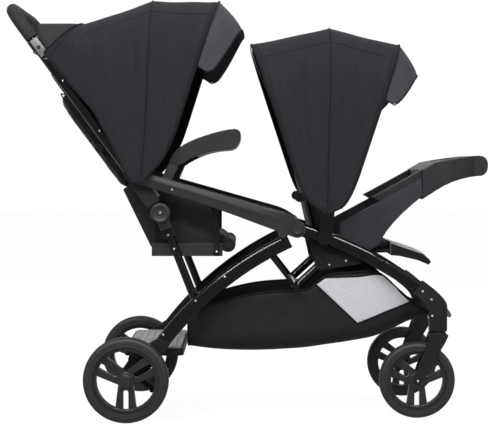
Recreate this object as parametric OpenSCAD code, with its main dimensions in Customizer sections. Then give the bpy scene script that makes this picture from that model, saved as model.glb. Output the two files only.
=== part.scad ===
// Tandem stroller: a reclining front seat, a rear seat with a standing platform, and a folding frame.
// +X is forward, +Y is the left side, +Z is up, and the wheels stand on z = 0.
// A two-number point is [x, z] in the side view.

/* [Wheels] */
// Rear wheel radius
rear_wheel_r = 108; // [90:1:125]
// Rear tyre width
rear_tyre_w = 38; // [30:1:44]
// From a rear leg's middle plane to its wheel's middle plane
wheel_offset = 40; // [35:0.5:55]
// Rear axle's place along the stroller
rear_axle_x = -307; // [-320:1:-300]
// Front wheel radius
front_wheel_r = 97; // [80:1:100]
// Front tyre width
front_tyre_w = 34; // [26:1:36]
// How far a caster's swivel axis sits inside its front leg's middle plane
caster_inset = 9; // [4:0.5:11]
// Front axle's place along the stroller
front_axle_x = 434; // [425:1:440]
// How far a front axle trails behind its swivel axis
caster_trail = 52; // [46:1:54]
// Hub radius
hub_r = 20; // [17:1:24]
// Width of one bar of a double spoke at the hub
spoke_w = 11; // [8:0.5:12]
// Slot between the two bars of a spoke
spoke_slot = 13; // [9:0.5:14]
// A spoke's width at the rim as a share of its width at the hub
spoke_flare = 1.6; // [1.3:0.05:1.7]
// Wheel axle radius
axle_r = 6; // [5:0.25:7]
// Hub cap height beyond the tyre
cap_h = 4; // [2:0.5:6]
// Rim's inner edge as a share of the wheel radius
rim_in_share = 0.69; // [0.66:0.01:0.72]
// Rim's outer edge as a share of the wheel radius
rim_out_share = 0.78; // [0.76:0.01:0.82]
// Depth of a tread groove
tread_d = 2; // [1:0.5:3]

/* [Frame tubes] */
// From the rear seat's edge out to a rear leg's middle plane
leg_offset = 37; // [35:0.5:39]
// Rear leg width in the side view
leg_w = 36; // [32:1:40]
// Rear leg thickness across
leg_t = 20; // [18:1:21]
// Bend radius of the rear legs
rear_leg_bend = 870; // [750:10:1100]
// Front leg width in the side view
front_leg_w = 34; // [30:1:38]
// Front leg thickness across
front_leg_t = 22; // [20:1:24]
// Bend radius of the front legs
front_leg_bend = 1020; // [900:10:1300]
// Strut width in the side view
strut_w = 21; // [18:1:24]
// Strut thickness across
strut_t = 18; // [14:1:19]
// Link bar width
link_w = 10; // [8:0.5:12]
// Link bar thickness
link_t = 4; // [3:0.5:4.5]
// Link bar's upper end as a share of the rear leg's length
link_share = 0.86; // [0.82:0.01:0.9]
// Seat tube radius
seat_tube_r = 11; // [9:0.5:12]

/* [Fold] */
// Hinge pin radius
pin_r = 6; // [5:0.5:7]
// Radius of the hinge discs
disc_r = 26; // [24:0.5:30]
// Thickness of the handle's hinge tongue
tongue_t = 10; // [8:0.5:12]
// Thickness of a hinge cheek
cheek_t = 11; // [8:0.5:13]

/* [Handle] */
// Slope of the handle tubes
handle_angle = 53.8; // [50:0.2:58]
// From the main hinge to the handle's cross bar
handle_len = 642; // [600:1:680]
// Handle tube width in the side view
tube_w = 28; // [26:0.5:30]
// Handle tube thickness across
tube_t = 20; // [18:0.5:21]
// Length of the padded loop beyond the handle tubes
loop_len = 97; // [85:1:120]
// Radius of the bent handle bar
bar_r = 8; // [7:0.25:9]
// Corner radius of the handle bar
bar_bend = 62; // [50:1:80]
// Radius of the foam grip
grip_r = 16.5; // [14:0.5:18]
// Length of the moulded hinge block
block_len = 140; // [130:1:160]
// Width of the moulded hinge block
block_w = 38; // [34:1:42]
// Travel of the fold latch
latch_travel = 12; // [8:1:16]

/* [Side link] */
// Thickness of a side link
link_panel_t = 12; // [10:0.5:13]
// Depth that the side link's outline shares are taken from
panel_depth = 42; // [36:1:48]
// Gap between the frame tubes and the side links
panel_gap = 1.5; // [1:0.25:3]

/* [Seats] */
// Width of the rear seat
rear_seat_w = 336; // [300:1:340]
// Length of the rear seat
rear_seat_len = 196; // [180:1:205]
// Thickness of a seat board
board_t = 7; // [5:0.5:9]
// Thickness of a cushion
pad_t = 26; // [18:1:30]
// From the handle's cross bar down to the rear seat back's top edge
back_clear = 230; // [226:1:270]
// Width of the front seat
front_seat_w = 268; // [240:1:276]
// Recline of the front seat back from the horizontal
front_back_angle = 103; // [98:1:105]
// Length of the front seat back
front_back_len = 400; // [360:1:420]
// Length of the front seat board
front_seat_len = 172; // [160:1:190]

/* [Trays] */
// Width of the parent tray
parent_tray_w = 300; // [280:1:330]
// Length of the parent tray
parent_tray_len = 122; // [110:1:132]
// Depth of the parent tray
parent_tray_h = 74; // [60:1:84]
// Cup holder bore radius
cup_r = 38; // [34:0.5:42]
// Depth of a cup holder
cup_d = 62; // [50:1:66]
// Wall thickness of the moulded trays
wall_t = 3; // [2.5:0.25:4]

/* [Soft pieces] */
// Thickness of the canopy cloth
cloth_t = 2.5; // [2:0.25:3]
// Radius of a canopy bow
bow_r = 3; // [2.5:0.25:4]
// Corner radius of the canopies
canopy_corner = 120; // [90:5:150]
// Height that the canopies' rib shares are taken from
canopy_rise = 460; // [430:5:470]
// Reach of the visors beyond the front bows
visor_reach = 86; // [70:1:100]

/* [Hidden] */
$fn = 64;

// Rear leg's lower end
rear_leg_foot = [-233, 177];
// Rear leg's upper end
rear_leg_head = [105, 457];
// Front leg's lower end
front_leg_end = [456, 321];
// Strut's lower end, on the rear leg
strut_foot = [-134, 302];
// Seat tubes' lower end
seat_tube_foot = [123, 335];
// Main hinge between the struts and the handle
hinge = [-222, 527];
// From the main hinge to the side link's rear pivot
fold_arm = [-63, 93];
// Hinge of the front frame on the seat tubes
front_hinge = [187, 394];
// Rear seat's front lower edge
rear_seat_nose = [-50, 436];
// Front seat's hinge
front_back_hinge = [182, 440];

// Clearances, walls and small sizes used in several places
run_gap = 0.05;
side_gap = 0.5;
cloth_gap = 0.4;
cut = 1;
round_s = 6;
bolt_r = 5;
boss_r = 10;

// Planes across the stroller, outward on the left side
leg_y = rear_seat_w / 2 + leg_offset;
leg_in = leg_y - leg_t / 2;
leg_out = leg_y + leg_t / 2;
panel_in = leg_out + panel_gap;
panel_out = panel_in + link_panel_t;
link_in = leg_in - link_t;
front_out = link_in - side_gap * 2;
front_in = front_out - front_leg_t;
front_leg_y = (front_in + front_out) / 2;
plate_t = 2.5;
plate_in = front_in - plate_t;
seat_tube_y = plate_in - side_gap - seat_tube_r;
tongue_y = leg_y - side_gap * 2;
block_out = panel_in - side_gap;
block_in = leg_in - link_t + side_gap;
tube_y = (block_in + block_out) / 2;
rear_wheel_y = leg_y + wheel_offset;
front_wheel_y = front_leg_y - caster_inset;

// Pivots of the folding four-bar
link_rear = hinge + fold_arm;
link_front = front_hinge + fold_arm;
swivel_x = front_axle_x + caster_trail;
rear_axle_at = [rear_axle_x, rear_wheel_r];
front_axle_at = [front_axle_x, front_wheel_r];

// Point and curve helpers
function along(a) = [cos(a), sin(a)];
function blend(p, q, s) = p + (q - p) * s;
function angle_of(c, p) = atan2(p.y - c.y, p.x - c.x);
// Centre of the arc of radius r that rises above the line from p to q
function arc_centre(p, q, r) =
    let (d = q - p, l = norm(d), h = sqrt(r * r - l * l / 4))
    (p + q) / 2 + h / l * [d.y, -d.x];
// A quadratic curve from p to q, drawn towards m
function bend(p, m, q, n = 8) = [for (i = [0:n]) let (s = i / n) blend(blend(p, m, s), blend(m, q, s), s)];

rear_arc = arc_centre(rear_leg_foot, rear_leg_head, rear_leg_bend);
front_arc = arc_centre(link_front, front_leg_end, front_leg_bend);
// Point on a rear or front leg's middle line, as a share of its length
function rear_leg_at(s) = rear_arc + rear_leg_bend
    * along(angle_of(rear_arc, rear_leg_foot) * (1 - s) + angle_of(rear_arc, rear_leg_head) * s);
function front_leg_at(s) = front_arc + front_leg_bend
    * along(angle_of(front_arc, link_front) * (1 - s) + angle_of(front_arc, front_leg_end) * s);

// Both sides, or one side: 1 is the left and -1 the right
module both() {
    children();
    mirror([0, 1, 0]) children();
}
module side(s) {
    mirror([0, s < 0 ? 1 : 0, 0]) children();
}
// A side-view outline given thickness from plane y0 to plane y1
module slab(points, y0, y1) {
    translate([0, y1, 0]) rotate([90, 0, 0]) linear_extrude(y1 - y0) polygon(points);
}
// A round bar across the stroller at point p
module across(p, r, y0, y1) {
    translate([p.x, y0, p.y]) rotate([-90, 0, 0]) cylinder(h = y1 - y0, r = r);
}
// Carries children drawn along +X to point p, turned up by angle a
module at(p, a = 0, y = 0) {
    translate([p.x, y, p.y]) rotate([0, -a, 0]) children();
}
// Oval tube section: w wide and t thick
module oval(w, t) {
    square([w - t, t], center = true);
    for (s = [-1, 1]) translate([s * (w - t) / 2, 0]) circle(d = t);
}
// Straight oval bar from p to q in the plane y
module oval_bar(p, q, w, t, y) {
    translate([p.x, y, p.y]) rotate([0, 90 - angle_of(p, q), 0]) linear_extrude(norm(q - p)) oval(w, t);
}
// Flat bar with round ends from p to q, between planes y0 and y1
module flat_bar(p, q, w, y0, y1) {
    translate([0, y1, 0]) rotate([90, 0, 0]) linear_extrude(y1 - y0) {
        translate(p) rotate(angle_of(p, q)) translate([0, -w / 2]) square([norm(q - p), w]);
        translate(p) circle(d = w);
        translate(q) circle(d = w);
    }
}
// Oval tube bent along an arc about c, from angle a0 to a1
module arc_tube(c, r, a0, a1, w, t, y) {
    translate([c.x, y, c.y]) rotate([90, 0, 0]) rotate(a0)
        rotate_extrude(angle = a1 - a0, $fn = 180) translate([r, 0]) oval(w, t);
}
// Flat rounded rectangle, l along X and w along Y
module soft_rect(l, w, r) {
    square([l - 2 * r, w], center = true);
    square([l, w - 2 * r], center = true);
    for (i = [-1, 1], j = [-1, 1]) translate([i * (l / 2 - r), j * (w / 2 - r)]) circle(r);
}
// U of round bar in the local X-Y plane: legs from x0, cross bar at x1, half width w
module u_bar(x0, x1, w, bend_r, r) {
    for (s = [-1, 1]) {
        translate([x0, s * w, 0]) rotate([0, 90, 0]) cylinder(h = x1 - bend_r - x0, r = r);
        translate([x1 - bend_r, s * (w - bend_r), 0]) rotate(s > 0 ? 0 : -90)
            rotate_extrude(angle = 90) translate([bend_r, 0]) circle(r);
    }
    translate([x1, bend_r - w, 0]) rotate([-90, 0, 0]) cylinder(h = 2 * (w - bend_r), r = r);
}

// Closed solid between two grids of points with rows of equal length, as triangles
module grid_solid(front, back) {
    n = len(front);
    m = len(front[0]);
    points = concat([for (row = front) each row], [for (row = back) each row]);
    f = function (i, j) i * m + j;
    b = function (i, j) n * m + i * m + j;
    quad = function (p, q, r, s) [[p, q, r], [p, r, s]];
    faces = [
        for (i = [0:n - 2], j = [0:m - 2]) each quad(f(i, j), f(i, j + 1), f(i + 1, j + 1), f(i + 1, j)),
        for (i = [0:n - 2], j = [0:m - 2]) each quad(b(i, j), b(i + 1, j), b(i + 1, j + 1), b(i, j + 1)),
        for (j = [0:m - 2]) each quad(f(0, j), b(0, j), b(0, j + 1), f(0, j + 1)),
        for (j = [0:m - 2]) each quad(f(n - 1, j + 1), b(n - 1, j + 1), b(n - 1, j), f(n - 1, j)),
        for (i = [0:n - 2]) each quad(f(i + 1, 0), b(i + 1, 0), b(i, 0), f(i, 0)),
        for (i = [0:n - 2]) each quad(f(i, m - 1), b(i, m - 1), b(i + 1, m - 1), f(i + 1, m - 1))
    ];
    polyhedron(points, faces, convexity = 6);
}

// Colours
black = "#1c1c1e";
charcoal = "#38363a";
grey = "#58565c";
light_grey = "#a8a6ae";
cloth = "#2c2b2e";

// Rear legs and axle

module rear_legs() {
    color(black) both() arc_tube(rear_arc, rear_leg_bend, angle_of(rear_arc, rear_leg_head),
        angle_of(rear_arc, rear_leg_foot), leg_w, leg_t, leg_y);
}

bracket_wall = 3;
bracket_in = leg_in - bracket_wall;
bracket_out = rear_wheel_y - rear_tyre_w / 2 - cap_h;
bracket_axle_r = 27;
bracket_foot_r = leg_w / 2 + bracket_wall;
shaft_r = axle_r + 2 * bracket_wall / 3;
brake_pivot = rear_axle_at + [bracket_axle_r, -bracket_wall];
pedal_t = 11;
pedal_w = 13;
pedal_reach = [46, -33];
pedal_pad = 34;

// Moulded bracket that joins a rear leg's foot to the axle and carries the brake
module axle_brackets() {
    socket = bracket_wall / 30;
    foot = rear_leg_at(0.03);
    brow = blend(rear_axle_at, foot, 0.42) + [-bracket_axle_r, bracket_axle_r] * 0.55;
    color(charcoal) both() difference() {
        union() {
            across(rear_axle_at, bracket_axle_r, bracket_in, bracket_out);
            across(foot, bracket_foot_r, bracket_in, bracket_out);
            across(brow, bracket_axle_r * 0.6, bracket_in, bracket_out);
            slab([rear_axle_at + bracket_axle_r * along(-50), foot + bracket_foot_r * along(-50),
                foot + bracket_foot_r * along(110), brow + bracket_axle_r * 0.6 * along(105),
                brow + bracket_axle_r * 0.6 * along(190), rear_axle_at + bracket_axle_r * along(180)],
                bracket_in, bracket_out);
            across(brake_pivot, bolt_r, bracket_in - pedal_t - side_gap * 2, bracket_in);
        }
        arc_tube(rear_arc, rear_leg_bend, angle_of(rear_arc, rear_leg_head),
            angle_of(rear_arc, rear_leg_foot), leg_w + socket, leg_t + socket, leg_y);
        across(rear_axle_at, shaft_r + run_gap, bracket_in - cut, bracket_out + cut);
    }
}

module rear_axle() {
    color("silver") {
        across(rear_axle_at, shaft_r, -bracket_out, bracket_out);
        both() across(rear_axle_at, axle_r, bracket_out - cut, rear_wheel_y + rear_tyre_w / 2 - cap_h);
    }
}

module brake_pedal(s) {
    tip = brake_pivot + pedal_reach;
    outer = bracket_in - side_gap;
    color(charcoal) side(s) difference() {
        union() {
            across(brake_pivot, pedal_w * 0.75, outer - pedal_t, outer);
            flat_bar(brake_pivot, tip, pedal_w, outer - pedal_t, outer);
            flat_bar(tip - [pedal_w, 0], tip + [pedal_w / 2, 0], pedal_w * 0.7, outer - pedal_pad, outer);
        }
        across(brake_pivot, bolt_r + run_gap, outer - pedal_t - cut, outer + cut);
    }
}

// Wheels: a moulded rim with double spokes inside a foam tyre

spoke_angles = [30, 150, 270];

module tyre(r, w) {
    shoulder = w * 0.3;
    rotate([90, 0, 0]) rotate_extrude($fn = 96) difference() {
        union() {
            translate([r * rim_out_share, -w / 2]) square([r * (1 - rim_out_share) - shoulder, w]);
            translate([r * rim_out_share, shoulder - w / 2])
                square([r * (1 - rim_out_share), w - 2 * shoulder]);
            for (i = [-1, 1]) translate([r - shoulder, i * (w / 2 - shoulder)]) circle(shoulder);
        }
        for (i = [-1, 1]) translate([r - tread_d, i * w * 0.13 - tread_d / 2])
            square([tread_d + cut, tread_d]);
    }
}

module rim(r, w, cap = cap_h) {
    depth = w * 0.62;
    spoke_t = w * 0.42;
    root = spoke_slot / 2 + spoke_w;
    edge = r * (rim_in_share + rim_out_share) / 2;
    difference() {
        union() {
            rotate([90, 0, 0]) rotate_extrude($fn = 96) translate([r * rim_in_share, -depth / 2])
                square([r * (rim_out_share - rim_in_share), depth]);
            rotate([90, 0, 0]) linear_extrude(spoke_t, center = true) for (a = spoke_angles) rotate(a)
                difference() {
                    intersection() {
                        polygon([[0, -root], [edge, -root * spoke_flare], [edge, root * spoke_flare], [0, root]]);
                        circle(edge, $fn = 96);
                    }
                    translate([hub_r + spoke_w, -spoke_slot / 2])
                        square([r * rim_in_share - hub_r - spoke_w, spoke_slot]);
                    translate([hub_r + spoke_w, 0]) circle(d = spoke_slot);
                }
            rotate([-90, 0, 0]) translate([0, 0, -w / 2]) cylinder(h = w, r = hub_r);
            rotate([-90, 0, 0]) translate([0, 0, w / 2 - cut]) cylinder(h = cap + cut, r = hub_r * 0.7);
        }
        rotate([-90, 0, 0]) translate([0, 0, -w / 2 - cut])
            cylinder(h = w + cut - cap_h, r = axle_r + run_gap);
    }
}

module rear_wheel_at(s) {
    side(s) translate([rear_axle_x, rear_wheel_y, rear_wheel_r]) children();
}
module rear_rim(s) { color(charcoal) rear_wheel_at(s) rim(rear_wheel_r, rear_tyre_w); }
module rear_tyre(s) { color(black) rear_wheel_at(s) tyre(rear_wheel_r, rear_tyre_w); }

// Standing platform between the rear legs

platform_len = 150;
platform_z = 184;
platform_h = 18;
platform_x = -240;
plate_h = 4;
tread_w = 5;
tread_h = 1.5;

module platform_tray() {
    color(black) translate([platform_x, 0, platform_z - plate_h - platform_h]) difference() {
        linear_extrude(platform_h) soft_rect(platform_len, 2 * bracket_in, round_s * 3);
        translate([0, 0, -cut]) linear_extrude(platform_h - wall_t + cut)
            soft_rect(platform_len - 2 * wall_t, 2 * bracket_in - 2 * wall_t, round_s * 2);
    }
}

module standing_plate() {
    l = platform_len - 4 * wall_t;
    color(light_grey) translate([platform_x, 0, platform_z - plate_h]) {
        linear_extrude(plate_h) soft_rect(l, 2 * bracket_in - 6 * wall_t, round_s * 2);
        for (i = [-3:3]) translate([i * l / 8 - tread_w / 2, -bracket_in * 0.82, plate_h - tread_h])
            cube([tread_w, bracket_in * 1.64, 2 * tread_h]);
    }
}

// Struts, main hinges, link bars and seat tubes

strut_angle = angle_of(hinge, strut_foot);
strut_y = leg_in - strut_t / 2;
sleeve_len = 66;
sleeve_w = 31;
cheek_out = tongue_y + tongue_t / 2 + side_gap;
cheek_in = tongue_y - tongue_t / 2 - side_gap;

module struts() {
    color(black) both() oval_bar(hinge + (disc_r + bracket_wall) * along(strut_angle), strut_foot,
        strut_w, strut_t, strut_y);
}

module hinge_housings() {
    socket = bracket_wall / 30;
    near = strut_y - strut_t / 2 - bracket_wall;
    color(charcoal) both() {
        difference() {
            union() {
                across(hinge, disc_r, cheek_out, cheek_out + cheek_t);
                across(hinge, disc_r, cheek_in - cheek_t, cheek_in);
                at(hinge, strut_angle) translate([0, near, -sleeve_w / 2])
                    cube([sleeve_len, cheek_in - near, sleeve_w]);
                at(hinge, strut_angle) translate([disc_r - bracket_wall, near, -sleeve_w / 2])
                    cube([disc_r * 0.8, cheek_out + cheek_t - near, sleeve_w]);
            }
            across(hinge, disc_r - bracket_wall, cheek_in, cheek_out);
            oval_bar(hinge + (disc_r + bracket_wall) * along(strut_angle), strut_foot,
                strut_w + socket, strut_t + socket, strut_y);
        }
        across(hinge, pin_r, cheek_in - cut, cheek_out + cut);
    }
}

module link_bars() {
    color(black) both() flat_bar(rear_leg_at(link_share), seat_tube_foot, link_w, link_in, leg_in);
}

module seat_tubes() {
    l = norm(front_hinge - seat_tube_foot);
    color(black) {
        both() {
            at(seat_tube_foot, angle_of(seat_tube_foot, front_hinge), seat_tube_y) rotate([0, 90, 0])
                cylinder(h = l, r = seat_tube_r);
            translate([seat_tube_foot.x, seat_tube_y, seat_tube_foot.y]) sphere(seat_tube_r);
            across(front_hinge, seat_tube_r + cut, seat_tube_y - seat_tube_r, seat_tube_y + seat_tube_r);
            across(front_hinge, bolt_r, seat_tube_y, front_in);
        }
        across(seat_tube_foot, seat_tube_r * 0.75, -link_in, link_in);
    }
}

// Handle: hinge blocks, tubes, padded bar, parent tray and fold latches

up = 180 - handle_angle;
tube_top = handle_len - loop_len;
rear_back_len = handle_len - back_clear;
block_start = disc_r + 2 * bracket_wall / 3;
tube_plug = 26;
bar_plug = 60;
collar_len = 30;
lug_t = 2.4;
lug_gap = 0.6;
rear_stack = panel_out + lug_gap;
rear_pin_end = rear_stack + 3 * (lug_t + lug_gap);
back_hinge_at = [44, 10];
rear_back_hinge = hinge + back_hinge_at.x * along(up) + back_hinge_at.y * along(up + 90);
latch_w = 8;
latch_d = 6;
latch_len = 34;
latch_at = 36;

module handle_tubes() {
    color(black) both() at(hinge, up, tube_y) rotate([0, 90, 0]) difference() {
        union() {
            translate([0, 0, block_len - tube_plug]) linear_extrude(tube_top - block_len + tube_plug)
                oval(tube_w, tube_t);
            translate([0, 0, tube_top - collar_len]) linear_extrude(collar_len)
                oval(tube_w + 2 * bracket_wall, tube_t + bracket_wall);
        }
        translate([0, 0, tube_top - bar_plug]) cylinder(h = bar_plug + cut, r = bar_r + run_gap);
    }
}

module hinge_blocks() {
    socket = bracket_wall / 30;
    tongue_r = disc_r - bracket_wall - side_gap;
    color(charcoal) {
        both() difference() {
            union() {
                at(hinge, up, tongue_y + tongue_t / 2) rotate([90, 0, 0]) linear_extrude(tongue_t) {
                    circle(tongue_r);
                    translate([0, -tongue_r * 0.7]) square([block_start + cut, tongue_r * 1.4]);
                }
                at(hinge, up) translate([block_start, block_in, -block_w / 2])
                    cube([block_len - block_start, block_out - block_in, block_w]);
                across(link_rear, pin_r, block_out - cut, rear_pin_end);
            }
            across(hinge, pin_r + run_gap, leg_in - cut, leg_out + cut);
            at(hinge, up, tube_y) rotate([0, 90, 0]) translate([0, 0, block_len - tube_plug])
                linear_extrude(tube_plug + cut) oval(tube_w + socket, tube_t + socket);
            at(hinge, up) translate([latch_at, tube_y - latch_w / 2, -block_w / 2 - cut])
                cube([latch_len + latch_travel + side_gap, latch_w, latch_d + cut]);
        }
        across(rear_back_hinge, pin_r, -block_in - cut, block_in + cut);
    }
}

module handle_bar() {
    color("silver") at(hinge, up) u_bar(tube_top - bar_plug, handle_len, tube_y, bar_bend, bar_r);
}

module handle_grip() {
    start = tube_top + bracket_wall;
    color("#202022") at(hinge, up) difference() {
        u_bar(start, handle_len, tube_y, bar_bend, grip_r);
        u_bar(start - cut, handle_len, tube_y, bar_bend, bar_r + run_gap);
    }
}

module fold_latch(s) {
    slack = side_gap * 0.6;
    color(light_grey) side(s) at(hinge, up) {
        translate([latch_at + slack, tube_y - latch_w / 2 + slack, -block_w / 2 - slack - cut])
            cube([latch_len - slack, latch_w - 2 * slack, latch_d + cut]);
        translate([latch_at + slack, block_in + bracket_wall, -block_w / 2 - slack - latch_d])
            cube([latch_len - slack, block_out - block_in - 2 * bracket_wall, latch_d]);
    }
}

ear_at = hinge + (tube_top - collar_len / 2) * along(up);
tray_offset = [42, -17.7];
parent_tray_at = ear_at + tray_offset;
cup_y = parent_tray_w / 2 - cup_r - 2 * wall_t;
bin_w = 2 * (cup_y - cup_r - wall_t);
ear_r = 13;
lid_barrel = 4;
lid_pin = 2;
lid_hinge = parent_tray_at + [-parent_tray_len / 2 + 2 * lid_barrel, parent_tray_h + lid_barrel];

module parent_tray() {
    inside = parent_tray_len - 2 * wall_t;
    color(charcoal) difference() {
        union() {
            translate([parent_tray_at.x, 0, parent_tray_at.y]) difference() {
                linear_extrude(parent_tray_h) soft_rect(parent_tray_len, parent_tray_w, cup_r * 0.6);
                for (i = [-1, 1]) translate([0, i * cup_y, parent_tray_h - cup_d])
                    cylinder(h = cup_d + cut, r = cup_r);
                translate([0, 0, parent_tray_h - cup_d * 0.8]) linear_extrude(cup_d)
                    soft_rect(inside - 4 * lid_barrel, bin_w - wall_t, round_s);
            }
            both() across(ear_at, ear_r, parent_tray_w / 2 - wall_t, tube_y - (tube_t + bracket_wall) / 2);
            both() across(lid_hinge, lid_barrel, bin_w / 2 + side_gap, bin_w / 2 + wall_t + side_gap);
            both() translate([lid_hinge.x - lid_barrel, bin_w / 2 + side_gap, lid_hinge.y - lid_barrel - cut])
                cube([2 * lid_barrel, wall_t, lid_barrel + cut]);
            across(lid_hinge, lid_pin, -bin_w / 2 - wall_t, bin_w / 2 + wall_t);
        }
    }
}

module tray_lid() {
    l = parent_tray_len - 3 * lid_barrel;
    base = parent_tray_at.y + parent_tray_h + side_gap * 0.6;
    color(charcoal) difference() {
        union() {
            across(lid_hinge, lid_barrel - side_gap * 0.6, -bin_w / 2, bin_w / 2);
            translate([lid_hinge.x + l / 2, 0, base]) linear_extrude(wall_t) soft_rect(l, bin_w, round_s / 2);
            translate([lid_hinge.x + l, 0, base]) linear_extrude(wall_t * 1.5)
                soft_rect(wall_t * 3, bin_w * 0.6, wall_t);
        }
        across(lid_hinge, lid_pin + run_gap, -bin_w, bin_w);
    }
}

back_skirt = 50;

module rear_back() {
    color(black) at(rear_back_hinge, up) difference() {
        union() {
            rotate([-90, 0, 0]) translate([0, 0, -rear_seat_w * 0.44])
                cylinder(h = rear_seat_w * 0.88, r = boss_r);
            translate([(rear_back_len - back_skirt) / 2, 0, boss_r - board_t]) linear_extrude(board_t)
                soft_rect(rear_back_len + back_skirt, rear_seat_w, 4 * boss_r);
        }
        rotate([-90, 0, 0]) translate([0, 0, -rear_seat_w])
            cylinder(h = 2 * rear_seat_w, r = pin_r + run_gap);
    }
}

// A sewn pad on the local X-Y plane: l long, w wide and t high with a crown, drawn-in sides and channels
function pad_rows(l, w, t, rows, cols, channels, bottom) = [
    for (i = [0:rows]) let (u = i / rows, a = 2 * u - 1)
    [for (j = [0:cols]) let (v = j / cols, b = 2 * v - 1,
        waist = 1 - 0.05 * (1 - a * a) - 0.22 * pow(abs(a), 8),
        edge = pow(max(0, (1 - pow(abs(a), 6)) * (1 - pow(abs(b), 4))), 0.4),
        groove = channels == 0 ? 0 : 0.28 * pow(abs(cos(180 * u * channels)), 12) * (1 - pow(abs(a), 10)))
        [u * l * (1 - 0.05 * b * b * (a > 0 ? 1 : 0)), b * w / 2 * waist,
            bottom ? 0 : t * (0.3 + 0.7 * edge * (1 - groove))]]];

module pad(l, w, t, channels = 0, rows = 20, cols = 12) {
    grid_solid(pad_rows(l, w, t, rows, cols, channels, false), pad_rows(l, w, t, rows, cols, channels, true));
}

module rear_back_cushion() {
    start = boss_r + 2 * wall_t;
    color(cloth) at(rear_back_hinge, up) translate([start, 0, boss_r - board_t]) mirror([0, 0, 1])
        pad(rear_back_len - start - 2 * boss_r, rear_seat_w - 2 * boss_r, pad_t, 4);
}

module rear_pouch() {
    color(cloth) at(rear_back_hinge, up) translate([rear_back_len * 0.12, 0, boss_r])
        pad(rear_back_len * 0.76, rear_seat_w * 0.9, pad_t, 0, 14);
}

// Rear seat hung from the side links

panel_run = link_front - link_rear;
panel_side = [-panel_run.y, panel_run.x] / norm(panel_run);
// Outline of a side link: shares of the run between its pivots, and of its depth
panel_top_shares = [[0.02, 0.4], [0.84, 0.72], [0.97, 0.8], [1.04, 0.3]];
panel_low_shares = [[1.0, -0.52], [0.74, -0.42], [0.44, -0.24], [0.02, -0.4]];
function panel_at(p) = link_rear + p.x * panel_run + p.y * panel_depth * panel_side;
plug_r = 7;
plug_wall = 5;
plug_len = 46;
plug_angle = 66;
plug_offset = [78, -12];
plug_at = link_rear + plug_offset;
plug_y = panel_in - plug_r - plug_wall;

module side_panels() {
    top = [for (p = panel_top_shares) panel_at(p)];
    low = [for (p = panel_low_shares) panel_at(p)];
    flange = panel_at([0.93, -0.5]);
    color(charcoal) both() difference() {
        union() {
            slab(concat([top[0]], bend(top[1], top[2], top[3]), [low[0]], bend(low[1], low[2], low[3])),
                panel_in, panel_out);
            across(link_rear, panel_depth * 0.42, panel_in, panel_out);
            across(link_front, panel_depth * 0.52, panel_in, panel_out);
            across(flange, panel_depth * 0.3, panel_in, panel_out);
            at(plug_at, plug_angle, plug_y) rotate([0, 90, 0])
                cylinder(h = plug_len, r = plug_r + plug_wall);
            at(plug_at, plug_angle) translate([0, plug_y, -plug_r - plug_wall])
                cube([plug_len, panel_in - plug_y, 2 * (plug_r + plug_wall)]);
            at(plug_at, plug_angle) translate([-plug_r, panel_in - plug_r, -plug_r - plug_wall])
                cube([plug_len, plug_r + link_panel_t / 2, 2 * (plug_r + plug_wall)]);
        }
        across(link_rear, pin_r + run_gap, panel_in - cut, panel_out + cut);
        across(link_front, pin_r + side_gap, panel_in - cut, panel_out + cut);
        at(plug_at, plug_angle, plug_y) rotate([0, 90, 0])
            cylinder(h = plug_len + cut, r = plug_r + run_gap);
    }
}

strap_w = 15;
strap_t = 2.5;
seat_z = rear_seat_nose.y - board_t;
rail_h = 33;
rail_over = 13;
rail_in = rear_seat_w / 2;
rail_out = strut_y - strut_t / 2;
hanger_x = rear_seat_nose.x - 2 * strap_w;
hanger_top = link_rear.y + panel_run.y * (hanger_x - link_rear.x) / panel_run.x;
// Corners of a seat wing: shares of the seat's length, and of the height up to the side link's pivot
wing_shares = [[0.12, 0], [0.9, 0], [0.86, 0.42], [0.72, 0.58], [0.28, 0.7], [0.2, 0.38], [0.12, 0.28]];

module rear_seat_board() {
    color(grey) {
        translate([rear_seat_nose.x - rear_seat_len / 2, 0, seat_z]) linear_extrude(board_t)
            soft_rect(rear_seat_len, rear_seat_w + cut, 3 * round_s);
        both() translate([rear_seat_nose.x - rear_seat_len, rail_in, seat_z - rail_over])
            cube([rear_seat_len - strap_w, rail_out - rail_in, rail_h]);
    }
}

// Webbing from the seat's rails up to the side links
module seat_hangers() {
    low = seat_z - rail_over;
    color(black) both() translate([hanger_x - strap_w / 2, 0, 0]) rotate([90, 0, 90]) linear_extrude(strap_w)
        polygon([[rail_out, low], [rail_out + strap_t, low], [rail_out + strap_t, low + rail_h],
            [panel_in - cloth_gap, hanger_top], [panel_in - cloth_gap - strap_t, hanger_top],
            [rail_out, low + rail_h]]);
}

module rear_seat_cushion() {
    top = seat_z + board_t;
    color(cloth) {
        translate([rear_seat_nose.x - rear_seat_len * 0.96, 0, top])
            pad(rear_seat_len, rear_seat_w * 0.96, pad_t * 1.5, 2, 16);
        both() slab([for (p = wing_shares) [rear_seat_nose.x - (1 - p.x) * rear_seat_len,
            top + p.y * (link_rear.y - top)]], rail_in - 2 * cloth_t, rail_in - cloth_t);
    }
}

// Rear child tray, plugged into the side links' sockets

rear_tray_len = 168;
rear_tray_rise = 90;
cup_small_r = 33;
cup_small_d = 24;
tray_corner = 62;
rear_tray_at = plug_at + plug_len * along(plug_angle);
tray_half_w = plug_y + plug_r + plug_wall;
rear_tray_shares = [[-0.02, 0.52], [0.47, 0.81], [0.75, 0.98], [0.92, 1.0], [1.05, 0.97], [1.0, 0.7],
    [0.96, 0.42], [0.8, 0.42], [0.42, 0.4]];

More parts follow.
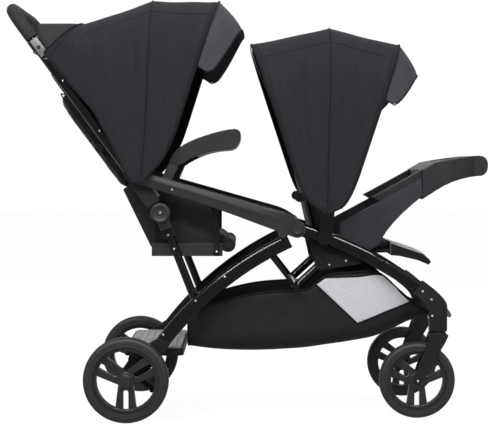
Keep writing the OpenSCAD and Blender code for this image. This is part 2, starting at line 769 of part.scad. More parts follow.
module rear_tray() {
    p = [for (s = rear_tray_shares) rear_tray_at + [s.x * rear_tray_len, s.y * rear_tray_rise]];
    seat = rear_tray_at + side_gap * along(plug_angle);
    back = seat + (plug_r + plug_wall) * along(plug_angle + 90);
    front = seat - (plug_r + plug_wall) * along(plug_angle + 90);
    outline = concat(bend(back, p[0], p[1]), bend(p[1], p[2], p[3], 4), bend(p[3], p[4], p[5], 5),
        bend(p[5], p[6], p[7], 4), bend(p[7], p[8], front));
    deck = p[1].x - cup_small_d;
    color(charcoal) {
        both() slab(outline, plug_y - plug_r - plug_wall, tray_half_w - plug_wall / 2);
        both() at(plug_at, plug_angle, plug_y) rotate([0, 90, 0]) translate([0, 0, plug_wall])
            cylinder(h = plug_len, r = plug_r);
        difference() {
            intersection() {
                slab(outline, -tray_half_w, tray_half_w);
                translate([deck + rear_tray_len / 2, 0, 0]) linear_extrude(2 * rear_tray_at.y)
                    soft_rect(rear_tray_len, 2 * tray_half_w, tray_corner);
                translate([deck, -tray_half_w, 0]) cube([rear_tray_len, 2 * tray_half_w, 2 * rear_tray_at.y]);
            }
            for (y = [-1, 1])
                translate([blend(p[1], p[3], 0.55).x, y * tray_half_w * 0.56, p[2].y - cup_small_d])
                cylinder(h = 2 * cup_small_d, r = cup_small_r);
            translate([blend(p[1], p[3], 0.5).x, 0, p[2].y - cup_small_d * 0.8])
                linear_extrude(2 * cup_small_d)
                soft_rect(rear_tray_len * 0.38, tray_half_w * 0.6, 2 * round_s);
        }
    }
}

// Front frame: legs, knuckles, casters and wheels

post_w = 38;
post_t = 6;
cover_r = 13.5;
canopy_offset = [15, 141];
front_canopy_at = front_hinge + canopy_offset;
front_stack = front_out + post_t + lug_gap;
front_pin_end = front_stack + 3 * (lug_t + lug_gap);
knuckle_wall = 4;
knuckle_z = 225;
knuckle_r = 22;
stem_r = 8;
stem_len = 56;
fork_w = 20;
fork_t = 6;
crown_h = 18;
lock_w = 8;
lock_len = 26;
lock_at = [swivel_x + stem_r + lock_w + side_gap, knuckle_z + 2 * lock_len + crown_h / 2];

module front_legs() {
    color(black) both() {
        arc_tube(front_arc, front_leg_bend, angle_of(front_arc, front_leg_end),
            angle_of(front_arc, link_front), front_leg_w, front_leg_t, front_leg_y);
        across(link_front, front_leg_w / 2 - cut, front_in + cut, front_out - cut);
        across(link_front, boss_r, front_leg_y, panel_in - side_gap);
        across(link_front, pin_r, front_leg_y, panel_out + side_gap + cut);
        across(link_front, cover_r, panel_out + side_gap, panel_out + side_gap + post_t);
        flat_bar(front_leg_at(0.2), front_canopy_at, post_w, front_out - cut, front_out + post_t);
        across(front_canopy_at, pin_r, front_out, front_pin_end);
    }
}

module front_knuckles() {
    socket = bracket_wall / 30;
    s0 = front_leg_at(0.93);
    n = along(angle_of(front_arc, s0));
    half = front_leg_w / 2 + knuckle_wall;
    top = [swivel_x + knuckle_r, knuckle_z + 3 * knuckle_r];
    color(charcoal) both() difference() {
        union() {
            slab(concat([s0 - half * n, s0 + half * n],
                bend(s0 + half * n, top + [-knuckle_wall, knuckle_r], top),
                [[swivel_x + knuckle_r, knuckle_z], [swivel_x - knuckle_r, knuckle_z]],
                bend([swivel_x - knuckle_r, knuckle_z + 2 * knuckle_r],
                    [swivel_x - knuckle_r, knuckle_z + 3 * knuckle_r], s0 - half * n)),
                front_in - knuckle_wall, front_out + knuckle_wall);
            translate([swivel_x, front_wheel_y, knuckle_z]) cylinder(h = 3 * knuckle_r, r = knuckle_r);
        }
        arc_tube(front_arc, front_leg_bend, angle_of(front_arc, front_leg_end),
            angle_of(front_arc, link_front), front_leg_w + socket, front_leg_t + socket, front_leg_y);
        translate([swivel_x, front_wheel_y, knuckle_z - cut])
            cylinder(h = stem_len + cut, r = stem_r + run_gap);
        translate([lock_at.x - lock_w, front_wheel_y - lock_w / 2 - side_gap, lock_at.y - lock_len - lock_w])
            cube([2 * knuckle_r, lock_w + 2 * side_gap, lock_len + 3 * lock_w]);
    }
    color(charcoal) both() across(lock_at, lock_w / 3, front_wheel_y - lock_w, front_wheel_y + lock_w);
}

module swivel_lock(s) {
    tip = lock_at + lock_len * along(-58);
    y0 = front_wheel_y - lock_w / 2;
    color(light_grey) side(s) difference() {
        flat_bar(lock_at, tip, lock_w * 1.4, y0, y0 + lock_w);
        across(lock_at, lock_w / 3 + run_gap, y0 - cut, y0 + lock_w + cut);
    }
}

module caster_fork(s) {
    crown_z = knuckle_z - side_gap - crown_h;
    inner = front_tyre_w / 2 + side_gap * 2;
    color(charcoal) side(s) {
        translate([swivel_x, front_wheel_y, crown_z]) {
            cylinder(h = crown_h + side_gap + stem_len - cut, r = stem_r);
            cylinder(h = crown_h, r = knuckle_r);
            translate([-fork_w, -inner - fork_t, 0]) cube([2 * fork_w, 2 * (inner + fork_t), crown_h * 0.7]);
        }
        for (i = [0, 1]) {
            y = front_wheel_y + (i == 0 ? inner : -inner - fork_t);
            slab([[swivel_x - fork_w, crown_z + crown_h * 0.7], front_axle_at + fork_w / 2 * along(150),
                front_axle_at + fork_w / 2 * along(-30), [swivel_x + fork_w * 0.9, crown_z - crown_h * 0.6],
                [swivel_x + fork_w * 1.3, crown_z + crown_h * 0.4],
                [swivel_x + fork_w, crown_z + crown_h * 0.7]], y, y + fork_t);
            across(front_axle_at, fork_w / 2, y, y + fork_t);
        }
        across(front_axle_at, axle_r, front_wheel_y - inner - cut, front_wheel_y + inner + cut);
    }
}

module front_wheel_at(s) {
    side(s) translate([front_axle_x, front_wheel_y, front_wheel_r]) children();
}
module front_rim(s) {
    color(charcoal) front_wheel_at(s) difference() {
        rim(front_wheel_r, front_tyre_w, 0);
        rotate([90, 0, 0]) cylinder(h = 2 * front_tyre_w, r = axle_r + run_gap, center = true);
    }
}
module front_tyre(s) { color(black) front_wheel_at(s) tyre(front_wheel_r, front_tyre_w); }

// Front seat, armrests and tray

rod_r = 6;
rod_z = 416;
rod_xs = [46, 104];
seat_start = boss_r + round_s;
foot_len = 104;
foot_drop = 55;
foot_w = 236;
foot_shares = [[0, 0.45], [0, 1.0], [0.8, 0.5], [1.0, 0.15], [0.94, 0], [0.66, 0.22], [0.2, 0.42]];
arm_t = 17.5;
arm_len = 215;
arm_rise = 190;
arm_offset = [45, 31];
arm_at = front_hinge + arm_offset;
arm_shares = [[0.0, 0.26], [0.02, 0.4], [0.38, 0.61], [0.99, 1.0], [1.0, 0.76], [0.56, 0.36], [0.49, 0.1],
    [0.34, 0.0], [0.05, 0.1]];
arm_rod_r = 5;
arm_rod_len = 48;
arm_rod_angle = 26;
front_tray_tip = 617.6;
front_tray_rise = 112;
front_tray_shares = [[-0.75, 0.05], [-0.2, 0.5], [0.2, 0.85], [0.52, 0.95], [0.86, 1.0], [1.02, 1.0],
    [1.0, 0.72], [0.98, 0.52], [0.85, 0.53], [0.5, 0.5], [0.2, 0.2], [0.0, 0.0], [-0.2, 0.1], [-0.6, -0.08]];
tray_arm_w = 24;

module seat_brackets() {
    low = front_leg_at(0.5) - [rod_r, front_leg_w * 0.7];
    color(black) {
        both() difference() {
            union() {
                slab(concat([for (s = [0.08:0.07:0.5]) front_leg_at(s)],
                    [low, front_hinge + 2.5 * rod_r * along(-75), front_hinge + 2.5 * rod_r * along(190)]),
                    plate_in, front_in);
                across(front_hinge, 2.5 * rod_r, plate_in, front_in);
            }
            across(front_hinge, bolt_r + run_gap, plate_in - cut, front_in + cut);
        }
        across(front_back_hinge, pin_r, -plate_in - cut, plate_in + cut);
        for (x = rod_xs) across([front_hinge.x + x, rod_z], rod_r, -plate_in - cut, plate_in + cut);
    }
}

board_z = rod_z + rod_r + run_gap;
board_x0 = front_back_hinge.x + seat_start;
board_x1 = board_x0 + front_seat_len;

module front_seat_board() {
    color(black) translate([(board_x0 + board_x1) / 2, 0, board_z]) linear_extrude(board_t)
        soft_rect(front_seat_len, front_seat_w, round_s);
}

module front_seat_cushion() {
    color(cloth) translate([board_x0, 0, board_z + board_t])
        pad(front_seat_len, front_seat_w * 0.97, pad_t * 1.2, 2, 16);
}

module footrest() {
    at0 = [board_x1, board_z - foot_drop * 0.5];
    color(light_grey) slab([for (p = foot_shares) at0 + [p.x * foot_len, p.y * foot_drop]],
        -foot_w / 2, foot_w / 2);
}

function arm_at_share(p) = arm_at + [p.x * arm_len, p.y * arm_rise];
arm_end = arm_at_share([0.995, 0.88]);

module armrests() {
    p = [for (s = arm_shares) arm_at_share(s)];
    color(grey) both() difference() {
        slab(concat(bend(p[8], p[0], p[1], 5), bend(p[1], p[2], p[3], 6), bend(p[4], p[5], p[6], 6), [p[7]]),
            plate_in - arm_t, plate_in);
        at(arm_end, arm_rod_angle, plate_in - arm_t / 2) rotate([0, -90, 0]) translate([0, 0, -cut * 5])
            cylinder(h = arm_rod_len + cut * 6, r = arm_rod_r + run_gap);
    }
}

module front_tray() {
    start = arm_at_share([1.0, 0]).x + side_gap;
    base = arm_end.y - front_tray_rise * 0.28;
    l = front_tray_tip - start;
    p = [for (s = front_tray_shares) [start + s.x * l, base + s.y * front_tray_rise]];
    outline = concat(bend(p[0], p[1], p[2], 6), bend(p[2], p[3], p[4], 5), bend(p[4], p[5], p[6], 5),
        bend(p[6], p[7], p[8], 4), bend(p[8], p[9], p[10], 5), bend(p[11], p[12], p[13], 5));
    half = plate_in;
    rail = plate_in - arm_t - side_gap;
    color(charcoal) {
        both() slab(outline, rail - tray_arm_w, rail);
        difference() {
            intersection() {
                slab(outline, -half, half);
                translate([start + l / 2 - tray_corner, 0, 0]) linear_extrude(2 * base)
                    soft_rect(l + 2 * tray_corner, 2 * half, tray_corner * 1.4);
                translate([start, -half, 0]) cube([l, 2 * half, 2 * base]);
            }
            for (y = [-1, 1]) translate([start + l * 0.5, y * half * 0.55, p[3].y - cup_small_d * 1.1])
                cylinder(h = 3 * cup_small_d, r = cup_small_r);
            translate([start + l * 0.5, 0, p[3].y - cup_small_d * 0.7]) linear_extrude(3 * cup_small_d)
                soft_rect(l * 0.5, half * 0.45, 2 * round_s);
        }
        both() at(arm_end, arm_rod_angle, plate_in - arm_t / 2) rotate([0, -90, 0])
            translate([0, 0, -arm_rod_len / 4]) cylinder(h = arm_rod_len * 1.2, r = arm_rod_r);
    }
}

module front_back() {
    color(black) at(front_back_hinge, front_back_angle) difference() {
        union() {
            rotate([-90, 0, 0]) translate([0, 0, -front_seat_w * 0.44])
                cylinder(h = front_seat_w * 0.88, r = boss_r);
            translate([front_back_len / 2, 0, boss_r - board_t]) linear_extrude(board_t)
                soft_rect(front_back_len, front_seat_w, 4 * boss_r);
        }
        rotate([-90, 0, 0]) translate([0, 0, -front_seat_w])
            cylinder(h = 2 * front_seat_w, r = pin_r + run_gap);
    }
}

module front_back_cushion() {
    start = boss_r + 2 * wall_t;
    color(cloth) at(front_back_hinge, front_back_angle) translate([start, 0, boss_r - board_t])
        mirror([0, 0, 1]) pad(front_back_len - start - 2 * boss_r, front_seat_w - boss_r, pad_t, 4);
}

// Canopies: cloth drawn over three bows that turn about one pivot

// Each rib is the cloth's lower corner and its roof point, in shares of the canopy's rise from its pivot
rear_rib_shares = [[[-0.2, 0.2], [-0.3, 0.85]], [[-0.02, 0.24], [0.09, 0.98]], [[0.2, 0.15], [0.46, 0.975]]];
front_rib_shares = [[[-0.13, 0.05], [-0.42, 0.93]], [[0, 0.13], [0.02, 1.02]],
    [[0.12, 0.03], [0.415, 0.925]]];
rear_tip_share = [-0.013, -0.022];
front_tip_share = [0, -0.022];
rear_tip = canopy_rise * rear_tip_share;
rear_ribs = canopy_rise * rear_rib_shares;
front_tip = canopy_rise * front_tip_share;
front_ribs = canopy_rise * front_rib_shares;
// Places round half a canopy: leg shares, then corner angles
leg_shares = [0, 0.16, 0.32, 0.5, 0.66];
corner_angles = [0, 20, 40, 58, 75, 90];
leg_end_share = 0.76;
elbow_share = 0.32;
visor_share = 0.55;
strip_count = 4;

// A rib's side-view point at share q of its height
function rib_at(tip, rib, q) = q < elbow_share ? blend(tip, rib[0], q / elbow_share)
    : blend(rib[0], rib[1], (q - elbow_share) / (1 - elbow_share));
// One round of a canopy: [share of height, place across, turn of the outward normal]
function half_round(w) = concat([for (q = leg_shares) [q, w, 0]],
    [for (a = corner_angles)
        [leg_end_share + (1 - leg_end_share) * sin(a), w - canopy_corner * (1 - cos(a)), a]],
    [[1, (w - canopy_corner) / 2, 90]]);
function full_round(w) = let (h = half_round(w), n = len(h))
    concat(h, [[1, 0, 90]], [for (i = [n - 1:-1:0]) [h[i][0], -h[i][1], 180 - h[i][2]]]);
// Ribs with straight cloth between them
function all_ribs(ribs) = concat([for (k = [0:len(ribs) - 2], i = [0:strip_count - 1])
    blend(ribs[k], ribs[k + 1], i / strip_count)], [ribs[len(ribs) - 1]]);
function skin(c, tip, ribs, w, inset, first = 0, shift = [0, 0]) = [for (rib = ribs) [for (r = full_round(w))
    if (r[0] >= first) let (p = c + rib_at(tip, rib, r[0]) + shift, out = rib[1] / norm(rib[1]))
    [p.x - inset * out.x * sin(r[2]), r[1] - inset * cos(r[2]), p.y - inset * out.y * sin(r[2])]]];

module canopy(c, tip, ribs, w) {
    color(charcoal) grid_solid(skin(c, tip, all_ribs(ribs), w, cloth_t), skin(c, tip, all_ribs(ribs), w, 0));
}

rear_canopy_w = rear_pin_end + bow_r + cloth_gap + cloth_t;
front_canopy_w = front_pin_end + bow_r + cloth_gap + cloth_t;

module rear_canopy() { canopy(link_rear, rear_tip, rear_ribs, rear_canopy_w); }
module front_canopy() { canopy(front_canopy_at, front_tip, front_ribs, front_canopy_w); }

// A bow with flat pivot lugs: k counts its place in the stack of lugs
module canopy_bow(c, rib, w, stack, k) {
    y = stack + k * (lug_t + lug_gap);
    reach = norm(rib[1]) - bow_r - cloth_gap - cloth_t;
    start = 16 * pin_r;
    bow_bend = canopy_corner + 10 * bow_r;
    color("silver") difference() {
        union() {
            at(c, angle_of([0, 0], rib[1])) {
                u_bar(start, reach, y + lug_t / 2, bow_bend, bow_r);
                both() translate([0, y, -bow_r]) cube([start + 2 * pin_r, lug_t, 2 * bow_r]);
            }
            both() across(c, 1.6 * pin_r, y, y + lug_t);
        }
        both() across(c, pin_r + run_gap, y - cut, y + lug_t + cut);
    }
}

module rear_bow() { canopy_bow(link_rear, rear_ribs[0], rear_canopy_w, rear_stack, 0); }
module rear_mid_bow() { canopy_bow(link_rear, rear_ribs[1], rear_canopy_w, rear_stack, 1); }
module rear_front_bow() { canopy_bow(link_rear, rear_ribs[2], rear_canopy_w, rear_stack, 2); }
module front_bow() { canopy_bow(front_canopy_at, front_ribs[0], front_canopy_w, front_stack, 0); }
module front_mid_bow() { canopy_bow(front_canopy_at, front_ribs[1], front_canopy_w, front_stack, 1); }
module front_front_bow() { canopy_bow(front_canopy_at, front_ribs[2], front_canopy_w, front_stack, 2); }

// A crescent visor that goes on from the cloth's front edge
visor_steps = 4;
visor_dip = -46;
function visor_skin(c, tip, rib, w, inset) = [for (k = [0:visor_steps])
    let (base = skin(c, tip, [rib], w, inset, visor_share)[0], n = len(base) - 1)
    [for (j = [0:n]) let (s = side_gap + visor_reach * pow(sin(180 * j / n), 0.8) * k / visor_steps)
        base[j] + s * [cos(visor_dip), 0, sin(visor_dip)]]];

module visor(c, tip, rib, w) {
    color(grey) grid_solid(visor_skin(c, tip, rib, w, cloth_t), visor_skin(c, tip, rib, w, 0));
}

module rear_visor() { visor(link_rear, rear_tip, rear_ribs[2], rear_canopy_w); }
module front_visor() { visor(front_canopy_at, front_tip, front_ribs[2], front_canopy_w); }

// Storage basket: an open cloth tub hung below the seat tubes

basket_at = [-154, 168];
basket_len = 622;
basket_h = 160;
basket_half_w = plate_in + cloth_t + cloth_gap;
basket_corner = 46;
// Places along the basket: shares of its length, of its height for the floor and rim, and of its width
basket_shares = [[0, 0.06, 0.6, 0.94], [0.12, 0.02, 0.78, 1], [0.28, 0.01, 0.93, 1], [0.44, 0.04, 0.985, 1],
    [0.5, 0.06, 1.0, 1], [0.575, 0.1, 1.22, 1], [0.68, 0.15, 1.27, 0.97], [0.79, 0.23, 1.26, 0.92],
    [0.92, 0.45, 0.8, 0.83], [1.0, 0.58, 0.62, 0.78]];
basket_turns = [0, 30, 60, 90];

function basket_round(s, inset) = let (w = basket_half_w * s[3] - inset, x = basket_at.x + s[0] * basket_len,
    floor_z = basket_at.y + s[1] * basket_h + inset, rim_z = basket_at.y + s[2] * basket_h,
    c = min(basket_corner, (rim_z - floor_z) * 0.8),
    half = concat([[w, rim_z], [w, (rim_z + floor_z + c) / 2]],
        [for (a = basket_turns) [w - c * (1 - cos(a)), floor_z + c * (1 - sin(a))]],
        [[(w - c) / 2, floor_z]]))
    concat([for (p = half) [x, p.x, p.y]], [[x, 0, floor_z]],
        [for (i = [len(half) - 1:-1:0]) [x, -half[i].x, half[i].y]]);

module basket() {
    color(cloth) grid_solid([for (s = basket_shares) basket_round(s, 0)],
        [for (s = basket_shares) basket_round(s, cloth_t)]);
}

rear_legs();
struts();
hinge_housings();
axle_brackets();
rear_axle();
brake_pedal(1);  // brake_pedal_left
brake_pedal(-1);  // brake_pedal_right
platform_tray();
standing_plate();
link_bars();
seat_tubes();
basket();
rear_rim(1);  // rear_rim_left
rear_rim(-1);  // rear_rim_right
rear_tyre(1);  // rear_tyre_left
rear_tyre(-1);  // rear_tyre_right
handle_tubes();
hinge_blocks();
handle_bar();
handle_grip();
parent_tray();
tray_lid();
fold_latch(1);  // fold_latch_left
fold_latch(-1);  // fold_latch_right
rear_back();
rear_back_cushion();
rear_pouch();
rear_canopy();
rear_bow();
rear_mid_bow();
rear_front_bow();
rear_visor();
side_panels();
seat_hangers();
rear_seat_board();
rear_seat_cushion();
rear_tray();
front_legs();
front_knuckles();
seat_brackets();
front_seat_board();
front_seat_cushion();
footrest();
armrests();
front_tray();
front_back();
front_back_cushion();
front_canopy();
front_bow();
front_mid_bow();
front_front_bow();
front_visor();
caster_fork(1);  // caster_fork_left
caster_fork(-1);  // caster_fork_right
front_rim(1);  // front_rim_left
front_rim(-1);  // front_rim_right
front_tyre(1);  // front_tyre_left
front_tyre(-1);  // front_tyre_right
swivel_lock(1);  // swivel_lock_left
swivel_lock(-1);  // swivel_lock_right
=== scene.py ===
import math

import bpy
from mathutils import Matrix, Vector, noise


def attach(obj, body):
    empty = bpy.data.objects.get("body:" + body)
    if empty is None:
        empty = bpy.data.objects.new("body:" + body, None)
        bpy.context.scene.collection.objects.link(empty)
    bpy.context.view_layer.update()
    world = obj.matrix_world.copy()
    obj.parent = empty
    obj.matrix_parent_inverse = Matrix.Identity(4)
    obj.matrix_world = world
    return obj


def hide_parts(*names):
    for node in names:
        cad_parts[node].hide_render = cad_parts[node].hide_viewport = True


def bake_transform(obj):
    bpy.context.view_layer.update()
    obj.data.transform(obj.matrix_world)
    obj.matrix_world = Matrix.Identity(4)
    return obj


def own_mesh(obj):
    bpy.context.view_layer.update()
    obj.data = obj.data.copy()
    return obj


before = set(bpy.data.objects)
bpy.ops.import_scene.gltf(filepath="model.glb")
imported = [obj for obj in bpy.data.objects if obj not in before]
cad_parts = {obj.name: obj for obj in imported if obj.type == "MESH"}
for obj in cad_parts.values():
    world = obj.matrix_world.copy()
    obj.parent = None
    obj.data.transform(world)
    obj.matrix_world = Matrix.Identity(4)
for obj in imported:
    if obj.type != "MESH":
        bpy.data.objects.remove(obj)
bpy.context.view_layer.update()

scene = bpy.context.scene
scene.view_settings.view_transform = "Standard"

MM = 0.001
WHITE = (1, 1, 1, 1)
SIDES = (("left", 1), ("right", -1))


# Colour and node helpers

def srgb(code):
    """A hex colour as linear red, green, blue and alpha."""
    parts = [int(code[i:i + 2], 16) / 255 for i in (1, 3, 5)]
    return [c / 12.92 if c <= 0.04045 else ((c + 0.055) / 1.055) ** 2.4 for c in parts] + [1.0]


def feed(tree, n, links):
    """Sets a node's inputs, each to a value or to another node's output."""
    for key, value in links.items():
        if isinstance(value, bpy.types.NodeSocket):
            tree.links.new(value, n.inputs[key])
        else:
            n.inputs[key].default_value = value


def node(tree, kind, links=None, **settings):
    """One new node with its settings and inputs."""
    n = tree.nodes.new("ShaderNode" + kind)
    for key, value in settings.items():
        setattr(n, key, value)
    feed(tree, n, links or {})
    return n


def new_material(name):
    mat = bpy.data.materials.new(name)
    mat.use_nodes = True
    tree = mat.node_tree
    tree.nodes.clear()
    shader = node(tree, "BsdfPrincipled")
    node(tree, "OutputMaterial", {"Surface": shader.outputs["BSDF"]})
    return mat, tree, shader


def ramp(tree, fac, low, high, dark, light):
    """A colour between two hex codes, as fac goes from low to high."""
    r = node(tree, "ValToRGB", {"Fac": fac})
    for element, place, code in zip(r.color_ramp.elements, (low, high), (dark, light)):
        element.position = place
        element.color = srgb(code)
    return r.outputs["Color"]


def coords(tree, kind):
    return node(tree, "TexCoord").outputs[kind]


def speckle(tree, place, scale, **more):
    return node(tree, "TexNoise", {"Vector": place, "Scale": scale, **more}).outputs["Fac"]


def bands(tree, place, scale, way, **more):
    links = {"Vector": place, "Scale": scale, **more}
    return node(tree, "TexWave", links, wave_type="BANDS", bands_direction=way).outputs["Fac"]


def cells(tree, place, scale, **more):
    return node(tree, "TexVoronoi", {"Vector": place, "Scale": scale, **more}).outputs["Distance"]


def combine(tree, operation, a, b):
    return node(tree, "Math", {0: a, 1: b}, operation=operation).outputs["Value"]


def spread(tree, fac, source, target):
    """A texture's range of values, taken to another range."""
    links = {"Value": fac, "From Min": source[0], "From Max": source[1],
             "To Min": target[0], "To Max": target[1]}
    return node(tree, "MapRange", links).outputs["Result"]


def bump(tree, height, strength, deep_mm, normal=None):
    links = {"Height": height, "Strength": strength, "Distance": deep_mm * MM}
    if normal is not None:
        links["Normal"] = normal
    return node(tree, "Bump", links).outputs["Normal"]


def soft_edge(tree, edge_mm, samples):
    """Shading that rounds the edges of a piece."""
    return node(tree, "Bevel", {"Radius": edge_mm * MM}, samples=samples).outputs["Normal"]


# Moulded polypropylene: a spark-eroded tool leaves a fine even grain of 1.1 mm, over clouds of
# 70 mm in the tone. The edges are rounded a little in the shading.
def moulded_plastic(name, dark, light, rough=0.48, edge_mm=1.4, shine=0.3):
    mat, tree, shader = new_material(name)
    place = coords(tree, "Object")
    grain = speckle(tree, place, 1 / (1.1 * MM), Detail=3.0, Roughness=0.6)
    cloudy = speckle(tree, place, 1 / (70 * MM), Detail=2.0)
    feed(tree, shader, {
        "Base Color": ramp(tree, cloudy, 0.3, 0.7, dark, light),
        "Roughness": spread(tree, grain, (0.3, 0.7), (rough - 0.06, rough + 0.08)),
        "Normal": bump(tree, grain, 0.12, 0.3, soft_edge(tree, edge_mm, 6)),
        "IOR": 1.49,
        "Specular IOR Level": shine,
    })
    return mat


# Steel tube under gloss black enamel: an orange peel of 6 mm bends the highlights, and wear of
# 45 mm changes the gloss. The wide soft edge makes the flat-sided oval tube shade as a round one.
def enamelled_tube(name, dark, light, rough=0.1):
    mat, tree, shader = new_material(name)
    place = coords(tree, "Object")
    peel = speckle(tree, place, 1 / (6.0 * MM), Detail=1.0)
    wear = speckle(tree, place, 1 / (45 * MM), Detail=4.0, Roughness=0.65)
    feed(tree, shader, {
        "Base Color": ramp(tree, wear, 0.3, 0.75, dark, light),
        "Roughness": spread(tree, wear, (0.35, 0.75), (rough, rough + 0.06)),
        "Normal": bump(tree, peel, 0.05, 0.4, soft_edge(tree, 16.0, 16)),
        "IOR": 1.5,
        "Specular IOR Level": 0.1,
        "Coat Weight": 0.06,
        "Coat Roughness": 0.06,
    })
    return mat


# Woven polyester: a plain weave in the sheet's own UV map, which flat_mm makes a map in mm. The
# threads of 0.4 mm are drawn coarser to show. slub is specks per mm, and creases are 50 mm long.
def woven_cloth(name, dark, light, flat_mm, thread_mm=2.4, rough=0.9, slub=0.5):
    mat, tree, shader = new_material(name)
    flat = node(tree, "Mapping", {"Vector": coords(tree, "UV"),
                                  "Scale": (flat_mm[0], flat_mm[1], 1.0)}).outputs["Vector"]
    warp, weft = [bands(tree, flat, 0.5 / thread_mm, way, Distortion=0.6, Detail=1.0)
                  for way in "XY"]
    weave = combine(tree, "MULTIPLY", warp, weft)
    melange = speckle(tree, flat, slub, Detail=5.0, Roughness=0.7)
    crease_and_shade = speckle(tree, flat, 0.02, Detail=3.0, Distortion=0.8)
    # Painted shade: the crease noise also goes into the tone, so the cloth is painted lighter on the
    # creases' ridges and darker in their hollows.
    tone = combine(tree, "MULTIPLY", combine(tree, "ADD", melange, crease_and_shade), 0.5)
    feed(tree, shader, {
        "Base Color": ramp(tree, tone, 0.32, 0.68, dark, light),
        "Normal": bump(tree, weave, 0.22, 0.4, bump(tree, crease_and_shade, 0.25, 3.0)),
        "Roughness": rough,
        "Specular IOR Level": 0.05,
        "Sheen Weight": 0.03,
        "Sheen Roughness": 0.45,
    })
    return mat


# Padded seat cloth: threads of 2.6 mm on a swollen pad, so the weave runs on Object coordinates,
# turned to lie along the seat backs. The tone changes over 25 mm.
def pad_cloth(name, dark, light, thread_mm=2.6, rough=0.85):
    mat, tree, shader = new_material(name)
    place = coords(tree, "Object")
    turned = node(tree, "Mapping", {"Vector": place, "Rotation": (0.0, math.radians(36), 0.0)})
    warp, weft = [bands(tree, turned.outputs["Vector"], 0.5 / (thread_mm * MM), way, Distortion=0.5)
                  for way in "YX"]
    tone = speckle(tree, place, 1 / (25 * MM), Detail=4.0, Roughness=0.6)
    feed(tree, shader, {
        "Base Color": ramp(tree, tone, 0.3, 0.7, dark, light),
        "Normal": bump(tree, combine(tree, "ADD", warp, weft), 0.18, 0.4),
        "Roughness": rough,
        "Specular IOR Level": 0.15,
        "Sheen Weight": 0.08,
        "Sheen Roughness": 0.5,
    })
    return mat


# Knitted polyester net: pale yarn round small holes of 4.2 mm, pulled unevenly. The holes are not cut
# through the sheet. Their darker colour is painted shade: the basket's dark cloth inside, in shade.
def knitted_net(name, yarn, hole_shade, flat_mm, hole_mm=4.2):
    mat, tree, shader = new_material(name)
    scale = (flat_mm[0] / hole_mm, flat_mm[1] / hole_mm, 1.0)
    flat = node(tree, "Mapping", {"Vector": coords(tree, "UV"), "Scale": scale}).outputs["Vector"]
    holes = cells(tree, flat, 1.0, Randomness=0.25)
    pulled = combine(tree, "MULTIPLY", speckle(tree, flat, 0.09, Detail=3.0), 0.16)
    # Painted shade: the colour goes darker towards the middle of each hole.
    depth = combine(tree, "ADD", holes, pulled)
    feed(tree, shader, {
        "Base Color": ramp(tree, depth, 0.22, 0.5, hole_shade, yarn),
        "Normal": bump(tree, holes, 0.3, 0.5),
        "Roughness": 0.8,
    })
    return mat


# EVA foam: closed cells of 1.6 mm, dull and slightly pitted, with scuffs of 18 mm.
def eva_foam(name, dark, light, rough):
    mat, tree, shader = new_material(name)
    place = coords(tree, "Object")
    scuff = speckle(tree, place, 1 / (18 * MM), Detail=5.0, Roughness=0.65)
    feed(tree, shader, {
        "Base Color": ramp(tree, scuff, 0.3, 0.72, dark, light),
        "Normal": bump(tree, cells(tree, place, 1 / (1.6 * MM)), 0.18, 0.4),
        "Roughness": rough,
        "Specular IOR Level": 0.1,
    })
    return mat


# Zinc-plated steel: bright, with turning marks of 2.5 mm.
def plated_steel(name, dark, light, rough=0.3):
    mat, tree, shader = new_material(name)
    marks = speckle(tree, coords(tree, "Object"), 1 / (2.5 * MM), Detail=4.0)
    feed(tree, shader, {
        "Base Color": ramp(tree, marks, 0.3, 0.7, dark, light),
        "Roughness": spread(tree, marks, (0.0, 1.0), (rough - 0.08, rough + 0.15)),
        "Metallic": 1.0,
    })
    return mat


tube_black = enamelled_tube("enamelled_steel_tube", "#060607", "#0D0D0F")
charcoal_pp = moulded_plastic("charcoal_polypropylene", "#1A1A1C", "#232326", shine=0.08)
panel_pp = moulded_plastic("side_link_polypropylene", "#303033", "#3A3A3D", 0.42, 2.0, 0.08)
arm_pp = moulded_plastic("armrest_polypropylene", "#343237", "#3E3C42", 0.5, 2.5, 0.06)
black_pp = moulded_plastic("black_polypropylene", "#121214", "#1A1A1C", 0.55, shine=0.06)
tray_pp = moulded_plastic("tray_polypropylene", "#29292C", "#343438", 0.5, 4.0, 0.07)
rail_pp = moulded_plastic("seat_rail_polypropylene", "#2E2E31", "#39393C", 0.5, 2.0, 0.07)
pale_pp = moulded_plastic("pale_grey_polypropylene", "#A9A7B2", "#BBB9C4", 0.5)
platform_pp = moulded_plastic("platform_polypropylene", "#979799", "#ABABAD", 0.55)
latch_pp = moulded_plastic("latch_polypropylene", "#5C5C60", "#707075", 0.45)
rim_pp = moulded_plastic("wheel_nylon", "#242426", "#303033", 0.36, 2.4, 0.16)
tyre_eva = eva_foam("tyre_eva", "#2A2A2B", "#373738", 0.55)
grip_eva = eva_foam("grip_eva", "#202023", "#2E2E31", 0.85)
zinc = plated_steel("zinc_plated_steel", "#6F7073", "#9A9B9E")
seat_cloth = pad_cloth("seat_polyester", "#171619", "#232225")
canopy_cloth = woven_cloth("canopy_polyester", "#272529", "#322F35", (620, 1150))
visor_cloth = woven_cloth("visor_polyester", "#464449", "#55535A", (420, 120), slub=0.9)
basket_cloth = woven_cloth("basket_polyester", "#211F23", "#2B292D", (700, 760), rough=0.78)
lining_cloth = woven_cloth("lining_polyester", "#161518", "#201F22", (600, 600))
binding_tape = woven_cloth("binding_tape", "#161517", "#212023", (30, 900), thread_mm=2.0)
webbing = woven_cloth("webbing_polypropylene", "#131315", "#1F1F21", (18, 160), 2.2, 0.7)
net_cloth = knitted_net("basket_net", "#DDDCE0", "#A9A7AE", (240, 130))

